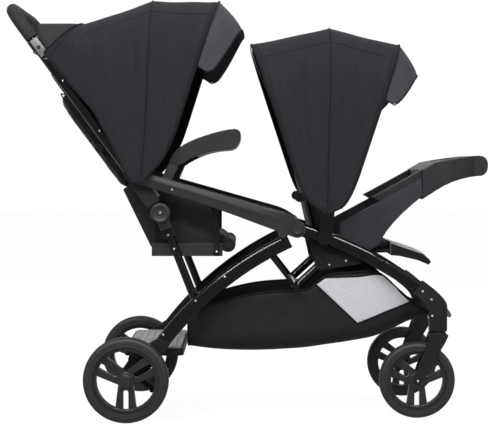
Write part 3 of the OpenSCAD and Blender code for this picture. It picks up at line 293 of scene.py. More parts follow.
by_material = {
    tube_black: ["rear_legs", "struts", "link_bars", "seat_tubes", "handle_tubes", "front_legs",
                 "handle_bar", "rear_bow", "rear_mid_bow", "rear_front_bow", "front_bow",
                 "front_mid_bow", "front_front_bow"],
    black_pp: ["seat_brackets", "platform_tray", "front_seat_board"],
    seat_cloth: ["rear_back", "front_back"],
    charcoal_pp: ["hinge_housings", "axle_brackets", "brake_pedal_left", "brake_pedal_right",
                  "hinge_blocks", "front_knuckles", "caster_fork_left", "caster_fork_right"],
    rail_pp: ["rear_seat_board"],
    panel_pp: ["side_panels"],
    tray_pp: ["rear_tray", "front_tray", "parent_tray", "tray_lid"],
    arm_pp: ["armrests"],
    pale_pp: ["footrest"],
    platform_pp: ["standing_plate"],
    latch_pp: ["fold_latch_left", "fold_latch_right", "swivel_lock_left", "swivel_lock_right"],
    rim_pp: ["rear_rim_left", "rear_rim_right", "front_rim_left", "front_rim_right"],
    tyre_eva: ["rear_tyre_left", "rear_tyre_right", "front_tyre_left", "front_tyre_right"],
    grip_eva: ["handle_grip"],
    zinc: ["rear_axle"],
}
for mat, names in by_material.items():
    for name in names:
        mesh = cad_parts[name].data
        mesh.materials.clear()
        mesh.materials.append(mat)


# Modelling helpers

def pick(*objs):
    """Only these objects are selected, and the first is active."""
    bpy.ops.object.select_all(action="DESELECT")
    for o in objs:
        o.select_set(True)
    bpy.context.view_layer.objects.active = objs[0]


def start_from(name, add, **settings):
    """A primitive to start from."""
    bpy.ops.object.select_all(action="DESELECT")
    add(**settings)
    obj = bpy.context.active_object
    obj.name = obj.data.name = name
    return obj


def own_copy(obj):
    """A copy with a mesh of its own."""
    twin = obj.copy()
    twin.data = obj.data.copy()
    scene.collection.objects.link(twin)
    return twin


def apply_modifier(obj, kind, **settings):
    pick(obj)
    m = obj.modifiers.new(kind.lower(), kind)
    for key, value in settings.items():
        setattr(m, key, value)
    bpy.ops.object.modifier_apply(modifier=m.name)


def edit_all(obj, operation, **settings):
    """One mesh operation on the whole of an object."""
    pick(obj)
    bpy.ops.object.mode_set(mode="EDIT")
    bpy.ops.mesh.select_all(action="SELECT")
    operation(**settings)
    bpy.ops.object.mode_set(mode="OBJECT")


def face_out(obj):
    edit_all(obj, bpy.ops.mesh.normals_make_consistent, inside=False)


def merge_close(obj, mm):
    edit_all(obj, bpy.ops.mesh.remove_doubles, threshold=mm * MM)


def settle(obj, angle=None):
    """Place and turn go into the mesh, and faces shade smoothly, up to an angle if one is given."""
    pick(obj)
    bpy.ops.object.transform_apply(location=True, rotation=True, scale=True)
    if angle is None:
        bpy.ops.object.shade_smooth()
    else:
        bpy.ops.object.shade_smooth_by_angle(angle=math.radians(angle))


def dress(obj, mat):
    obj.data.materials.clear()
    obj.data.materials.append(mat)


def carry(obj, body):
    """The body that a piece rides on."""
    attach(obj, body)


def grid(name, rows):
    """A sheet of quads through rows of points, with a UV map along and across the rows."""
    across, along = len(rows[0]) - 1, len(rows) - 1
    obj = start_from(name, bpy.ops.mesh.primitive_grid_add, x_subdivisions=across,
                     y_subdivisions=along, size=1)
    for v in obj.data.vertices:
        j = round((v.co.x + 0.5) * across)
        i = round((v.co.y + 0.5) * along)
        v.co = rows[i][j]
    return obj


def area_of(obj):
    return sum(p.area for p in obj.data.polygons)


def cut_size(rows):
    """A sheet's flat width and length: its longest row and its longest column."""
    def longest(lines):
        return max(sum((b - a).length for a, b in zip(line, line[1:])) for line in lines)
    return longest(rows), longest(list(zip(*rows)))


def cloth_sheet(name, rows, mat, thick_mm):
    """A sheet of cloth, thickened to both sides, and the area that it was cut from."""
    obj = grid(name, rows)
    face_out(obj)
    area = area_of(obj)
    dress(obj, mat)
    apply_modifier(obj, "SOLIDIFY", thickness=thick_mm * MM, offset=0.0, use_even_offset=False)
    settle(obj)
    return obj, area


def sheet_rows(n_v, n_u, place):
    """Rows of points from place(u, v) in mm, where both shares run from 0 to 1."""
    return [[Vector(place(j / n_u, i / n_v)) * MM for j in range(n_u + 1)]
            for i in range(n_v + 1)]


def cord_along(name, points, r, mat=binding_tape, sides=8, closed=False):
    """A round welt through points, as a mesh."""
    curve = bpy.data.curves.new(name, "CURVE")
    curve.dimensions = "3D"
    curve.bevel_depth = r * MM
    curve.bevel_resolution = max(1, sides // 4 - 1)
    curve.use_fill_caps = True
    s = curve.splines.new("POLY")
    s.points.add(len(points) - 1)
    for p, q in zip(s.points, points):
        p.co = (q[0], q[1], q[2], 1.0)
    s.use_cyclic_u = closed
    obj = bpy.data.objects.new(name, curve)
    scene.collection.objects.link(obj)
    pick(obj)
    bpy.ops.object.convert(target="MESH")
    obj = bpy.context.active_object
    settle(obj)
    dress(obj, mat)
    return obj


def join(name, objs):
    pick(*objs)
    if len(objs) > 1:
        bpy.ops.object.join()
    obj = bpy.context.active_object
    obj.name = obj.data.name = name
    return obj


def mirrored(obj, name):
    """A copy on the other side of the stroller."""
    twin = own_copy(obj)
    for v in twin.data.vertices:
        v.co.y = -v.co.y
    twin.name = twin.data.name = name
    edit_all(twin, bpy.ops.mesh.flip_normals)
    return twin


def lerp(a, b, t):
    return a + (b - a) * t


def mix2(a, b, t):
    return (lerp(a[0], b[0], t), lerp(a[1], b[1], t))


def along_line(points, t):
    """The place at share t of a line's length."""
    steps = [math.dist(a, b) for a, b in zip(points, points[1:])]
    left = t * sum(steps)
    for a, b, step in zip(points, points[1:], steps):
        if left <= step:
            return mix2(a, b, left / step)
        left -= step
    return points[-1]


def smooth_table(table, x):
    """A smooth reading of rows of numbers at place x, which is each row's first number."""
    for i in range(len(table) - 1):
        a, b = table[i], table[i + 1]
        if x <= b[0] or i == len(table) - 2:
            t = min(1, max(0, (x - a[0]) / (b[0] - a[0])))
            before = table[max(0, i - 1)]
            after = table[min(len(table) - 1, i + 2)]
            out = []
            for k in range(1, len(a)):
                m0 = (b[k] - before[k]) / max(1e-9, b[0] - before[0]) * (b[0] - a[0])
                m1 = (after[k] - a[k]) / max(1e-9, after[0] - a[0]) * (b[0] - a[0])
                out.append((2 * t ** 3 - 3 * t ** 2 + 1) * a[k] + (t ** 3 - 2 * t ** 2 + t) * m0
                           + (3 * t ** 2 - 2 * t ** 3) * b[k] + (t ** 3 - t ** 2) * m1)
            return out


# Camera at the photograph's place, floor and light

CAMERA_AT = (-10, -3700, 650)
CAMERA_TILT = 87.946
HALF_WIDTH_PX, FOCAL_PX = 244, 1380
WORLD_LEVEL = 0.26
FLOOR_GLOW = 1.1
FLOOR_VEIL = 0.86

bpy.ops.object.camera_add(location=[c * MM for c in CAMERA_AT],
                          rotation=(math.radians(CAMERA_TILT), 0, 0))
camera = bpy.context.active_object
camera.data.sensor_fit = "HORIZONTAL"
camera.data.angle = 2 * math.atan(HALF_WIDTH_PX / FOCAL_PX)
scene.camera = camera


def seen(tree):
    """1 for rays that show the surroundings, and 0 for rays that only carry their light."""
    ray = node(tree, "LightPath").outputs
    direct = combine(tree, "MAXIMUM", ray["Is Camera Ray"], ray["Is Glossy Ray"])
    return combine(tree, "MAXIMUM", direct, ray["Is Transmission Ray"])


world = bpy.data.worlds.new("studio")
scene.world = world
world.use_nodes = True
sky = world.node_tree
sky.nodes.clear()
plain, white = [node(sky, "Background", {"Color": WHITE, "Strength": level}).outputs["Background"]
                for level in (WORLD_LEVEL, 1.0)]
both = node(sky, "MixShader", {0: seen(sky), 1: plain, 2: white})
node(sky, "OutputWorld", {"Surface": both.outputs["Shader"]})

# The floor shows nearly white, and a veil of its glow keeps the stroller's shadow pale
floor = start_from("floor", bpy.ops.mesh.primitive_plane_add, size=30, location=(0, 0, -0.5 * MM))
settle(floor)
floor_mat, tree, shader = new_material("pale_studio_floor")
feed(tree, shader, {"Base Color": srgb("#F1F1F1"), "Roughness": 0.9, "Specular IOR Level": 0.1})
glow = node(tree, "Emission", {"Color": WHITE, "Strength": FLOOR_GLOW}).outputs["Emission"]
veil = combine(tree, "MULTIPLY", seen(tree), FLOOR_VEIL)
mix = node(tree, "MixShader", {0: veil, 1: shader.outputs["BSDF"], 2: glow})
tree.links.new(mix.outputs["Shader"], tree.nodes["Material Output"].inputs["Surface"])
dress(floor, floor_mat)


def softbox(name, at, aim, size, power, shine_only=False):
    """An area lamp; one for shine only shows in glossy surfaces and leaves matt colours alone."""
    bpy.ops.object.light_add(type="AREA", location=at)
    lamp = bpy.context.active_object
    lamp.name = name
    lamp.data.shape = "RECTANGLE"
    lamp.data.size, lamp.data.size_y = size
    lamp.data.energy = power
    lamp.rotation_euler = (Vector(aim) - Vector(at)).to_track_quat("-Z", "Y").to_euler()
    lamp.visible_diffuse = not shine_only


softbox("key_softbox", (-1.6, -2.4, 2.6), (0, 0, 0.5), (1.6, 1.6), 37)
softbox("fill_softbox", (2.2, -2.2, 1.4), (0.1, 0, 0.5), (1.4, 1.8), 11)
softbox("top_softbox", (0.0, 0.3, 3.0), (0, 0, 0.4), (2.4, 1.6), 28)
softbox("strip_softbox", (0.0, -1.5, 2.5), (0, 0, 0.4), (3.2, 0.07), 12)
softbox("shine_softbox", (0.0, -1.9, 2.2), (0, 0, 0.35), (3.6, 0.34), 480, shine_only=True)
softbox("back_softbox", (0.6, 2.6, 2.2), (0, 0, 0.6), (2.0, 1.4), 18)


# Canopies: one sheet of cloth each, drawn over three bows. A rib is a bow's elbow and top, as
# shares of RISE from the pivot, and the tip is the place where the ribs meet.

REAR_PIVOT = (-285.0, 620.0)
FRONT_PIVOT = (202.0, 535.0)
RISE = 460.0
REAR_RIBS = [((-0.085, 0.2), (-0.3, 0.85)), ((0.06, 0.25), (0.09, 0.98)),
             ((0.187, 0.12), (0.46, 0.975))]
FRONT_RIBS = [((-0.13, 0.05), (-0.42, 0.93)), ((0.0, 0.13), (0.02, 1.02)),
              ((0.12, 0.03), (0.415, 0.925))]
REAR_TIP = (0.0304, -0.0413)
FRONT_TIP = (0.0, -0.022)
REAR_HALF_W = 243.6
FRONT_HALF_W = 211.2
CORNER = 120.0  # radius between a canopy's side and its roof
LEG_END = 0.76  # share of the height where that corner starts
ELBOW = 0.32  # share of the height where a rib bends
ELBOW_SOFT = 0.14
CANOPY_THICK = 1.2

# How far the cloth leaves its bows, in mm
SLACK_SIDE, SLACK_ROOF = 3.5, 2.0
LOW_CREASE, HIGH_CREASE, DRIFT = 2.6, 2.0, 3.2
DEEPEST = -2.5


def rib_side(tip, rib, q):
    """A rib's side-view place at share q of its height, with the elbow rounded."""
    low, high = rib
    if q <= ELBOW - ELBOW_SOFT:
        return mix2(tip, low, q / ELBOW)
    if q >= ELBOW + ELBOW_SOFT:
        return mix2(low, high, (q - ELBOW) / (1 - ELBOW))
    a = mix2(tip, low, (ELBOW - ELBOW_SOFT) / ELBOW)
    b = mix2(low, high, ELBOW_SOFT / (1 - ELBOW))
    t = (q - ELBOW + ELBOW_SOFT) / (2 * ELBOW_SOFT)
    return mix2(mix2(a, low, t), mix2(low, b, t), t)


def half_arch(w, legs, corners, roof):
    """Stations from a canopy's foot to its roof's middle: share of height, half width, turn."""
    out = [(LEG_END * i / legs, w, 0.0) for i in range(legs)]
    for i in range(corners + 1):
        a = math.pi / 2 * i / corners
        out.append((LEG_END + (1 - LEG_END) * math.sin(a), w - CORNER * (1 - math.cos(a)), a))
    out += [(1.0, (w - CORNER) * (1 - i / roof), math.pi / 2) for i in range(1, roof)]
    return out


def full_arch(w, legs=26, corners=10, roof=8):
    h = half_arch(w, legs, corners, roof)
    return h + [(1.0, 0.0, math.pi / 2)] + [(q, -y, math.pi - a) for q, y, a in reversed(h)]


def arch_point(pivot, tip, rib, station, lift=0.0):
    q, y, a = station
    x, z = rib_side(tip, rib, q)
    size = math.hypot(*rib[1])
    out = (rib[1][0] / size, rib[1][1] / size)
    return Vector(((pivot[0] + x * RISE + lift * out[0] * math.sin(a)) * MM,
                   (y + lift * math.cos(a)) * MM,
                   (pivot[1] + z * RISE + lift * out[1] * math.sin(a)) * MM))


def blend_ribs(a, b, t):
    return (mix2(a[0], b[0], t), mix2(a[1], b[1], t))


def cloth_lift(q, y, a, t, k, seed):
    """How far the cloth stands off at share t of the way from bow k to the next, in mm."""
    free = 4 * t * (1 - t)
    side = -SLACK_SIDE * free * math.sin(math.pi * min(1, q / LEG_END))
    roof = -SLACK_ROOF * free * math.sin(a)
    low = LOW_CREASE * math.exp(-((q - 0.26) / 0.17) ** 2) * free
    low *= math.sin(2 * math.pi * (4.2 * q + 1.6 * t + 0.3 * k))
    high = HIGH_CREASE * free * math.exp(-((q - 0.7) / 0.12) ** 2)
    high *= math.sin(2 * math.pi * (3 * q + 0.7 * t))
    place = Vector((t * 2.4 + k, q * 5.0, seed + (0 if y > 0 else 3.7)))
    drift = noise.noise(place) * DRIFT * free
    return max(DEEPEST, side + roof + low + drift + high)


def canopy_rows(pivot, tip, ribs, w, seed, strips=14):
    """Cloth rows from the rear bow to the front one, slack between bows, creased near the pivot."""
    rows = []
    for k in range(len(ribs) - 1):
        for i in range(strips + (k == len(ribs) - 2)):
            t = i / strips
            rib = blend_ribs(ribs[k], ribs[k + 1], t)
            rows.append([arch_point(pivot, tip, rib, s, cloth_lift(*s, t, k, seed))
                         for s in full_arch(w)])
    return rows


# The gusset's free edge in the side view, in mm from the pivot: round the pivot and up along the
# handle tube, to where it is snapped on below the parent tray
GUSSET_EDGE = [(14, -19), (-8, -13), (-26, 16), (-53, 72), (-104, 166), (-171, 240), (-230, 312)]
GUSSET_TOP_Q, GUSSET_TOP_Y = 0.62, 219.5
GUSSET_STEPS = 9
GUSSET_RIPPLE = 3.0


def gusset_rows(pivot, rib, w, first):
    """Rows behind the rear bow, whose cloth runs on past the handle tube on each side."""
    roof = (rib[1][0] * RISE, rib[1][1] * RISE)
    rows = []
    for i in range(GUSSET_STEPS):
        s = 1 - i / GUSSET_STEPS
        row = []
        for here, (q, y, a) in zip(first, full_arch(w)):
            if q >= 1:
                row.append(here.copy())
                continue
            up = (q - GUSSET_TOP_Q) / (1 - GUSSET_TOP_Q)
            low = min(1, q / GUSSET_TOP_Q)
            if up < 0:
                edge, edge_y = along_line(GUSSET_EDGE, low), lerp(w, GUSSET_TOP_Y, low)
            else:
                edge, edge_y = mix2(GUSSET_EDGE[-1], roof, up), lerp(GUSSET_TOP_Y, abs(y), up)
            end = Vector((pivot[0] + edge[0], math.copysign(edge_y, y), pivot[1] + edge[1])) * MM
            p = here.lerp(end, s)
            ripple = noise.noise(Vector((s * 3.0, q * 4.0, 9.1))) * GUSSET_RIPPLE
            p.y += math.copysign(ripple * math.sin(math.pi * s) * low, y) * MM
            row.append(p)
        rows.append(row)
    return rows


def make_canopy(name, pivot, tip, ribs, w, seed, bodies, cloth_node, gusset=False):
    rows = bowed = canopy_rows(pivot, tip, ribs, w, seed)
    if gusset:
        rows = gusset_rows(pivot, ribs[0], w, rows[0]) + rows
    sheet = grid(name, rows)
    merge_close(sheet, 0.05)
    face_out(sheet)
    dress(sheet, canopy_cloth)
    sheet.data.materials.append(lining_cloth)
    apply_modifier(sheet, "SOLIDIFY", thickness=CANOPY_THICK * MM, offset=-1.0, material_offset=1,
                   material_offset_rim=0)
    settle(sheet)
    carrier, middle, front = bodies
    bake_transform(sheet)
    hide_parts(cloth_node)
    cut_size(rows)
    # Welts on the front edge and the middle seam, and a binding on the rear edge
    arch = full_arch(w)
    for tag, rib, body, r in (("_front_welt", ribs[2], front, 2.4),
                              ("_seam_welt", ribs[1], middle, 1.3)):
        line = [arch_point(pivot, tip, rib, s, 0.5) for s in arch if s[0] > 0.03]
        carry(cord_along(name + tag, line, r), body)
    line = [p for p, s in zip(rows[0], arch) if s[0] > 0.02]
    carry(cord_along(name + "_rear_hem", line, 2.2), carrier)
    # Sewn seams: the roof panel's two edges, and a row of stitching beside each hem
    middle_turn = math.sin(math.pi / 4)
    turned = [n for n, s in enumerate(arch) if abs(math.sin(s[2]) - middle_turn) < 0.01]
    lines = [[r[n] for r in bowed] for n in turned]
    lines += [[p for p, s in zip(rows[k], arch) if s[0] > 0.1] for k in (1, -2)]
    seams = join(name + "_stitching",
                 [cord_along(name + "_seam", line, 0.8, sides=4) for line in lines])
    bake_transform(seams)


make_canopy("rear_canopy_cloth", REAR_PIVOT, REAR_TIP, REAR_RIBS, REAR_HALF_W, 1.3,
            ("handle", "rear_middle_bow", "rear_hood_front"),
            "rear_canopy", gusset=True)
make_canopy("front_canopy_cloth", FRONT_PIVOT, FRONT_TIP, FRONT_RIBS, FRONT_HALF_W, 5.1,
            ("front", "front_middle_bow", "front_hood_front"),
            "front_canopy")

VISOR_REACH = 99.0
VISOR_STRIPS = 8
VISOR_THICK = 3.0
VISOR_CURL = 0.12  # radians by which its edge turns down


def make_visor(name, pivot, tip, rib, w, body, visor_node, foot, dip):
    """A stiffened crescent that goes on from a canopy's front edge, with a welted edge."""
    base = [s for s in full_arch(w, 40, 14, 8) if s[0] >= foot]
    n = len(base) - 1
    rows = []
    for k in range(VISOR_STRIPS + 1):
        share = k / VISOR_STRIPS
        turn = math.radians(dip) - VISOR_CURL * share ** 2
        row = []
        for j, s in enumerate(base):
            out = 1.0 + VISOR_REACH * max(0.0, math.sin(math.pi * j / n)) ** 0.38 * share
            step = Vector((out * math.cos(turn), 0, out * math.sin(turn))) * MM
            row.append(arch_point(pivot, tip, rib, s, 0.4) + step)
        rows.append(row)
    brim = grid(name, rows)
    merge_close(brim, 0.05)
    face_out(brim)
    dress(brim, visor_cloth)
    apply_modifier(brim, "SOLIDIFY", thickness=VISOR_THICK * MM, offset=-1.0)
    apply_modifier(brim, "SUBSURF", levels=1, render_levels=1)
    settle(brim)
    carry(brim, body)
    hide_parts(visor_node)
    cut_size(rows)
    carry(cord_along(name + "_welt", rows[-1], 1.8), body)


make_visor("rear_visor_cloth", REAR_PIVOT, REAR_TIP, REAR_RIBS[2], REAR_HALF_W, "rear_hood_front",
           "rear_visor", foot=0.69, dip=-44)
make_visor("front_visor_cloth", FRONT_PIVOT, FRONT_TIP, FRONT_RIBS[2], FRONT_HALF_W,
           "front_hood_front", "front_visor", foot=0.745, dip=-52)


# Storage basket: a cloth tub with a net window in each side

BASKET_AT = (-154.0, 168.0)
BASKET_LEN = 622.0
BASKET_H = 160.0
BASKET_HALF_W = 168.4
BASKET_BEND = 46.0  # largest radius between side and floor
BASKET_THICK = 1.4
BASKET_STEPS = 80
# Share of the length, and there the floor's and the rim's height and the width as shares
BASKET_STATIONS = [(0, 0.06, 0.6, 0.94), (0.12, 0.02, 0.78, 1), (0.28, 0.01, 0.93, 1),
                   (0.44, 0.04, 0.985, 1), (0.5, 0.06, 1.0, 1), (0.575, 0.1, 1.22, 1),
                   (0.68, 0.15, 1.27, 0.97), (0.79, 0.23, 1.26, 0.92), (0.92, 0.45, 0.8, 0.83),
                   (1.0, 0.58, 0.62, 0.78)]


def basket_section(share):
    """Heights of floor and rim, half width and radius of the bend, in mm."""
    low, rim, wide = smooth_table(BASKET_STATIONS, share)
    bend = min(BASKET_BEND, (rim - low) * BASKET_H * 0.8)
    return BASKET_AT[1] + low * BASKET_H, BASKET_AT[1] + rim * BASKET_H, wide * BASKET_HALF_W, bend


def basket_side_y(x, z):
    """How far the basket's side stands from the middle at a place in the side view."""
    low, rim, w, c = basket_section((x - BASKET_AT[0]) / BASKET_LEN)
    drop = max(0.0, low + c - z)
    return w - c + math.sqrt(max(0.0, c * c - drop * drop))


def hang_in_basket(obj):
    """A piece of the basket, with its place put into its mesh."""
    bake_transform(obj)


rows = []
for i in range(BASKET_STEPS + 1):
    along = i / BASKET_STEPS
    low, rim, w, c = basket_section(along)
    # Half a section from the rim down to the floor's middle: width, height, how upright it is
    half = [(w, lerp(rim, low + c, j / 8), 1.0) for j in range(8)]
    half += [(w - c * (1 - math.cos(a)), low + c * (1 - math.sin(a)), math.cos(a))
             for a in [math.pi / 2 * j / 7 for j in range(8)]]
    half += [((w - c) * (1 - j / 5), low, 0.0) for j in range(1, 5)]
    sag = 3.0 * math.sin(math.pi * min(1, along / 0.8)) if along < 0.8 else 0
    row = []
    for y, z, upright in half + [(0.0, low, 0.0)] + [(-a, b, d) for a, b, d in reversed(half)]:
        side = 0 if y == 0 else math.copysign(1, y)
        slack = noise.noise(Vector((along * 9, z * 0.02, 2.0 + side))) * 2.6 * upright
        fold = 1.6 * upright * math.sin(along * 40 + z * 0.05)
        fold *= math.exp(-((along - 0.1) / 0.1) ** 2)
        row.append(Vector((BASKET_AT[0] + along * BASKET_LEN,
                           y - side * (1.2 + abs(slack) + abs(fold)),
                           z - sag * (1 - upright) + 1.5)) * MM)
    rows.append(row)
basket, flat_area = cloth_sheet("basket_cloth", rows, basket_cloth, BASKET_THICK)
hang_in_basket(basket)
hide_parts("basket")
cut_size(rows)

rim_line = [r[0] + Vector((0, 0.6, 0.5)) * MM for r in rows]
for tag, sign in SIDES:
    line = [Vector((p.x, sign * p.y, p.z)) for p in rim_line]
    hang_in_basket(cord_along("basket_hem_" + tag, line, 2.6))
for name, row, body in (("basket_rear_hem", rows[0], "base"), ("basket_front_hem", rows[-1], "front")):
    carry(cord_along(name, row, 2.4), body)

# The window's upper and lower edges in the side view, both from its rear end forward
WINDOW_TOP = [(174, 343), (198, 360), (281, 362), (330, 368), (348, 365)]
WINDOW_LOW = [(282, 241), (318, 255), (355, 270), (392, 284), (424, 297)]
NET_OFF, NET_BULGE = 0.2, 1.2


def net_place(u, v, sign):
    x, z = mix2(along_line(WINDOW_LOW, u), along_line(WINDOW_TOP, u), v)
    off = NET_OFF + NET_BULGE * math.sin(math.pi * u) * math.sin(math.pi * v)
    return x, sign * (basket_side_y(x, z) + off), z


for tag, sign in SIDES:
    rows = sheet_rows(24, 32, lambda u, v: net_place(u, v, sign))
    net, flat_area = cloth_sheet("basket_net_" + tag, rows, net_cloth, 0.8)
    hang_in_basket(net)
    cut_size(rows)
    ring = rows[0] + [r[-1] for r in rows[1:]] + rows[-1][-2::-1] + [r[0] for r in rows[-2:0:-1]]
    hang_in_basket(cord_along("net_binding_" + tag, ring, 2.0, closed=True))


# Padded pieces: each starts a little slack and swells in a cloth simulation

SWELL_FRAMES = 20
SWELL_CAP = 6.0
SWOLLEN = 4.0  # room left for the swelling
PAD_VOXEL = 5.5
PIPING_IN = 2.5


def seat_place(at, turn, u, v, n):
    """A point of a seat panel: u along it, v across the stroller and n off its face, in mm."""
    c, s = math.cos(turn), math.sin(turn)
    return Vector((at[0] + u * c - n * s, v, at[1] + u * s + n * c)) * MM


def swell(obj, pressure):
    """Cloth pressure rounds the pad; no point moves further than SWELL_CAP."""
    before = [v.co.copy() for v in obj.data.vertices]
    pick(obj)
    m = obj.modifiers.new("cloth", "CLOTH")
    m.settings.quality = 5
    m.settings.mass = 0.3
    m.settings.tension_stiffness = m.settings.compression_stiffness = 12
    m.settings.bending_stiffness = 0.4
    m.settings.use_pressure = True
    m.settings.uniform_pressure_force = pressure
    m.settings.effector_weights.gravity = 0
    m.point_cache.frame_start, m.point_cache.frame_end = 1, SWELL_FRAMES
    for f in range(1, SWELL_FRAMES + 1):
        scene.frame_set(f)
    bpy.ops.object.modifier_apply(modifier=m.name)
    scene.frame_set(1)
    for v, b in zip(obj.data.vertices, before):
        step = v.co - b
        if step.length > SWELL_CAP * MM:
            v.co = b + step.normalized() * SWELL_CAP * MM


def make_pad(name, at, turn, span, width, faces, channels, body, pad_node, crumple=0.0):
    """A cushion from u = span[0] to span[1], and from its resting face n = faces[0] to faces[1]."""
    length, thick = span[1] - span[0], abs(faces[1] - faces[0])
    middle = span[0] + length / 2
    way = 1 if faces[1] > faces[0] else -1
    pad = start_from(name, bpy.ops.mesh.primitive_cube_add, size=1)
    edit_all(pad, bpy.ops.mesh.subdivide, number_cuts=22)
    # A block with rounded corners, hollow sides and a thin rim
    for v in pad.data.vertices:
        a, b = 2 * v.co.x, 2 * v.co.y
        rim = max(0.0, (1 - abs(a) ** 8) * (1 - abs(b) ** 6)) ** 0.5
        waist_u, waist_v = 1 - 0.02 * (1 - b * b), 1 - 0.025 * (1 - a * a)
        corner = 1 - 0.10 * max(0.0, abs(a) - 0.72) * max(0.0, abs(b) - 0.72) / 0.0784
        u = middle + a * corner * waist_u * (length / 2 - SWOLLEN)
        w = b * corner * waist_v * (width / 2 - SWOLLEN)
        crown = 0.45 + 0.55 * rim
        n = 1.0 + (v.co.z + 0.5) * (thick - SWOLLEN - 1.0) * crown + (1 - crown) * thick * 0.25
        v.co = Vector((u, w, n)) * MM
    apply_modifier(pad, "REMESH", mode="VOXEL", voxel_size=PAD_VOXEL * MM, use_smooth_shade=True)
    swell(pad, 4.0)
    # Sewn channels across it and crumpled cloth, and then its place in the seat
    for v in pad.data.vertices:
        u, w, n = v.co / MM
        for k in range(1, channels):
            off = (u - span[0] - length * k / channels) / 8.0
            n -= 0.30 * max(0.0, n - 0.35 * thick) * math.exp(-off * off)
        if crumple:
            wave = noise.noise(Vector((u * 0.018, w * 0.012, 4.0)))
            wave += 0.5 * noise.noise(Vector((u * 0.05, w * 0.03, 8)))
            n += crumple * wave * min(1, max(0.0, n / thick))
        n = min(max(n, 0.6), thick)
        v.co = seat_place(at, turn, u, w, faces[0] + way * n)
    face_out(pad)
    apply_modifier(pad, "SUBSURF", levels=1, render_levels=1)
    settle(pad)
    dress(pad, seat_cloth)
    carry(pad, body)
    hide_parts(pad_node)
    # Piping round the middle of the edge
    ring = []
    for k in range(96):
        t = 2 * math.pi * k / 96
        a, b = [math.copysign(abs(c) ** 0.25, c) for c in (math.cos(t), math.sin(t))]
        ring.append(seat_place(at, turn, middle + a * (length / 2 - PIPING_IN),
                               b * (width / 2 - PIPING_IN), faces[0] + way * thick * 0.42))
    carry(cord_along(name + "_piping", ring, 1.8, closed=True), body)


REAR_BACK = (-256.06, 556.60)
REAR_LEAN = math.radians(126.2)
FRONT_BACK = (182.0, 440.0)
FRONT_LEAN = math.radians(103)
make_pad("rear_back_pad", REAR_BACK, REAR_LEAN, (16, 392), 316, (3, -23), 4,
         "rear_backrest", "rear_back_cushion")
make_pad("rear_pouch_cloth", REAR_BACK, REAR_LEAN, (49.4, 362.6), 302, (10, 36), 1,
         "rear_backrest", "rear_pouch", crumple=5.0)
make_pad("rear_seat_pad", (0, 436), 0.0, (-238, -42.5), 322, (0.4, 39), 2,
         "base", "rear_seat_cushion")
make_pad("front_seat_pad", (0, 429), 0.0, (198, 370), 259, (0.4, 31), 2,
         "front", "front_seat_cushion")
make_pad("front_back_pad", FRONT_BACK, FRONT_LEAN, (16, 380), 258, (3, -23), 4,
         "front_backrest", "front_back_cushion")


# Cloth round the rear seat: a wing on each side, and a skirt behind it between the wings' edges

WING_LOW = [(-248, 440), (-205, 437), (-160, 437), (-115, 437), (-70, 437)]
WING_TOP = [(-319, 586), (-296, 606), (-256, 604), (-222, 592), (-170, 584), (-112, 556), (-78, 515)]
WING_Y, WING_OUT = 164.6, 8.4
WING_BACK_X = -222  # behind this the cloth stands outside the seat's back
WING_FOLD = 8.0
SKIRT_LOW, SKIRT_TOP = (-247, 441), (-317, 585)
SKIRT_HALF_W = 171.5
SEAT_CLOTH_THICK = 1.6


def wing_place(u, v):
    """A wing hangs in folds that run down to its front corner."""
    x, z = mix2(along_line(WING_LOW, u), along_line(WING_TOP, u), v)
    behind = min(1.0, max(0.0, (WING_BACK_X - x) / 20))
    fold = WING_FOLD * max(0.0, math.sin(2 * math.pi * (1.8 * v + 0.7 * u)))
    fold += 2.5 * noise.noise(Vector((u * 4, v * 3, 6.0)))
    inward = abs(fold) * math.sin(math.pi * v) ** 1.5 * (1 - behind)
    return x, WING_Y + WING_OUT * behind - inward, z


def skirt_place(u, v):
    x, z = mix2(SKIRT_LOW, SKIRT_TOP, v)
    sag = 5.0 * math.sin(math.pi * u) * math.sin(math.pi * v)
    sag += 2.0 * noise.noise(Vector((u * 6, v * 2, 3.0)))
    return x + sag, lerp(-SKIRT_HALF_W, SKIRT_HALF_W, u), z


def hang_on_seat(piece, rows):
    """Cloth on the rear seat's board, carried by the base."""
    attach(piece, "base")
    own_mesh(piece)
    cut_size(rows)


rows = sheet_rows(24, 32, wing_place)
wing, flat_area = cloth_sheet("rear_seat_wing_left", rows, basket_cloth, SEAT_CLOTH_THICK)
for piece in (wing, mirrored(wing, "rear_seat_wing_right")):
    hang_on_seat(piece, rows)
rows = sheet_rows(16, 32, skirt_place)
skirt, flat_area = cloth_sheet("rear_seat_skirt", rows, basket_cloth, SEAT_CLOTH_THICK)
hang_on_seat(skirt, rows)

# Webbing that hangs the rear seat's front edge from the side links: y and z along its length
STRAP_X, STRAP_W = -87.5, 15
strap_path = [(178.3, 416), (178.3, 428), (178.3, 440), (178.6, 449)]
strap_path += [(lerp(179.2, 214.7, k / 8), lerp(455, 553, k / 8)) for k in range(9)]
rows = [[Vector((STRAP_X + STRAP_W * j / 6, y, z)) * MM for j in range(7)] for y, z in strap_path]
strap, flat_area = cloth_sheet("seat_strap_left", rows, webbing, 2.0)
for piece in (strap, mirrored(strap, "seat_strap_right")):
    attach(piece, "base")
    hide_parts("seat_hangers")
    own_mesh(piece)
    cut_size(rows)


# Fasteners: each kind of head is modelled once and copied. A domed head with a socket and a flat
# cap with a ring, as shares of radius and rise from the middle outwards.

DOME = [(0.02, 0.3), (0.34, 0.3), (0.4, 0.95), (0.6, 1.0), (0.8, 0.8), (0.95, 0.45), (1.0, 0.0)]
CAP = [(0.02, 0.5), (0.24, 0.5), (0.3, 0.2), (0.36, 0.6), (0.7, 0.7), (0.76, 1.0), (0.9, 1.0),
       (0.98, 0.6), (1.0, 0.0)]
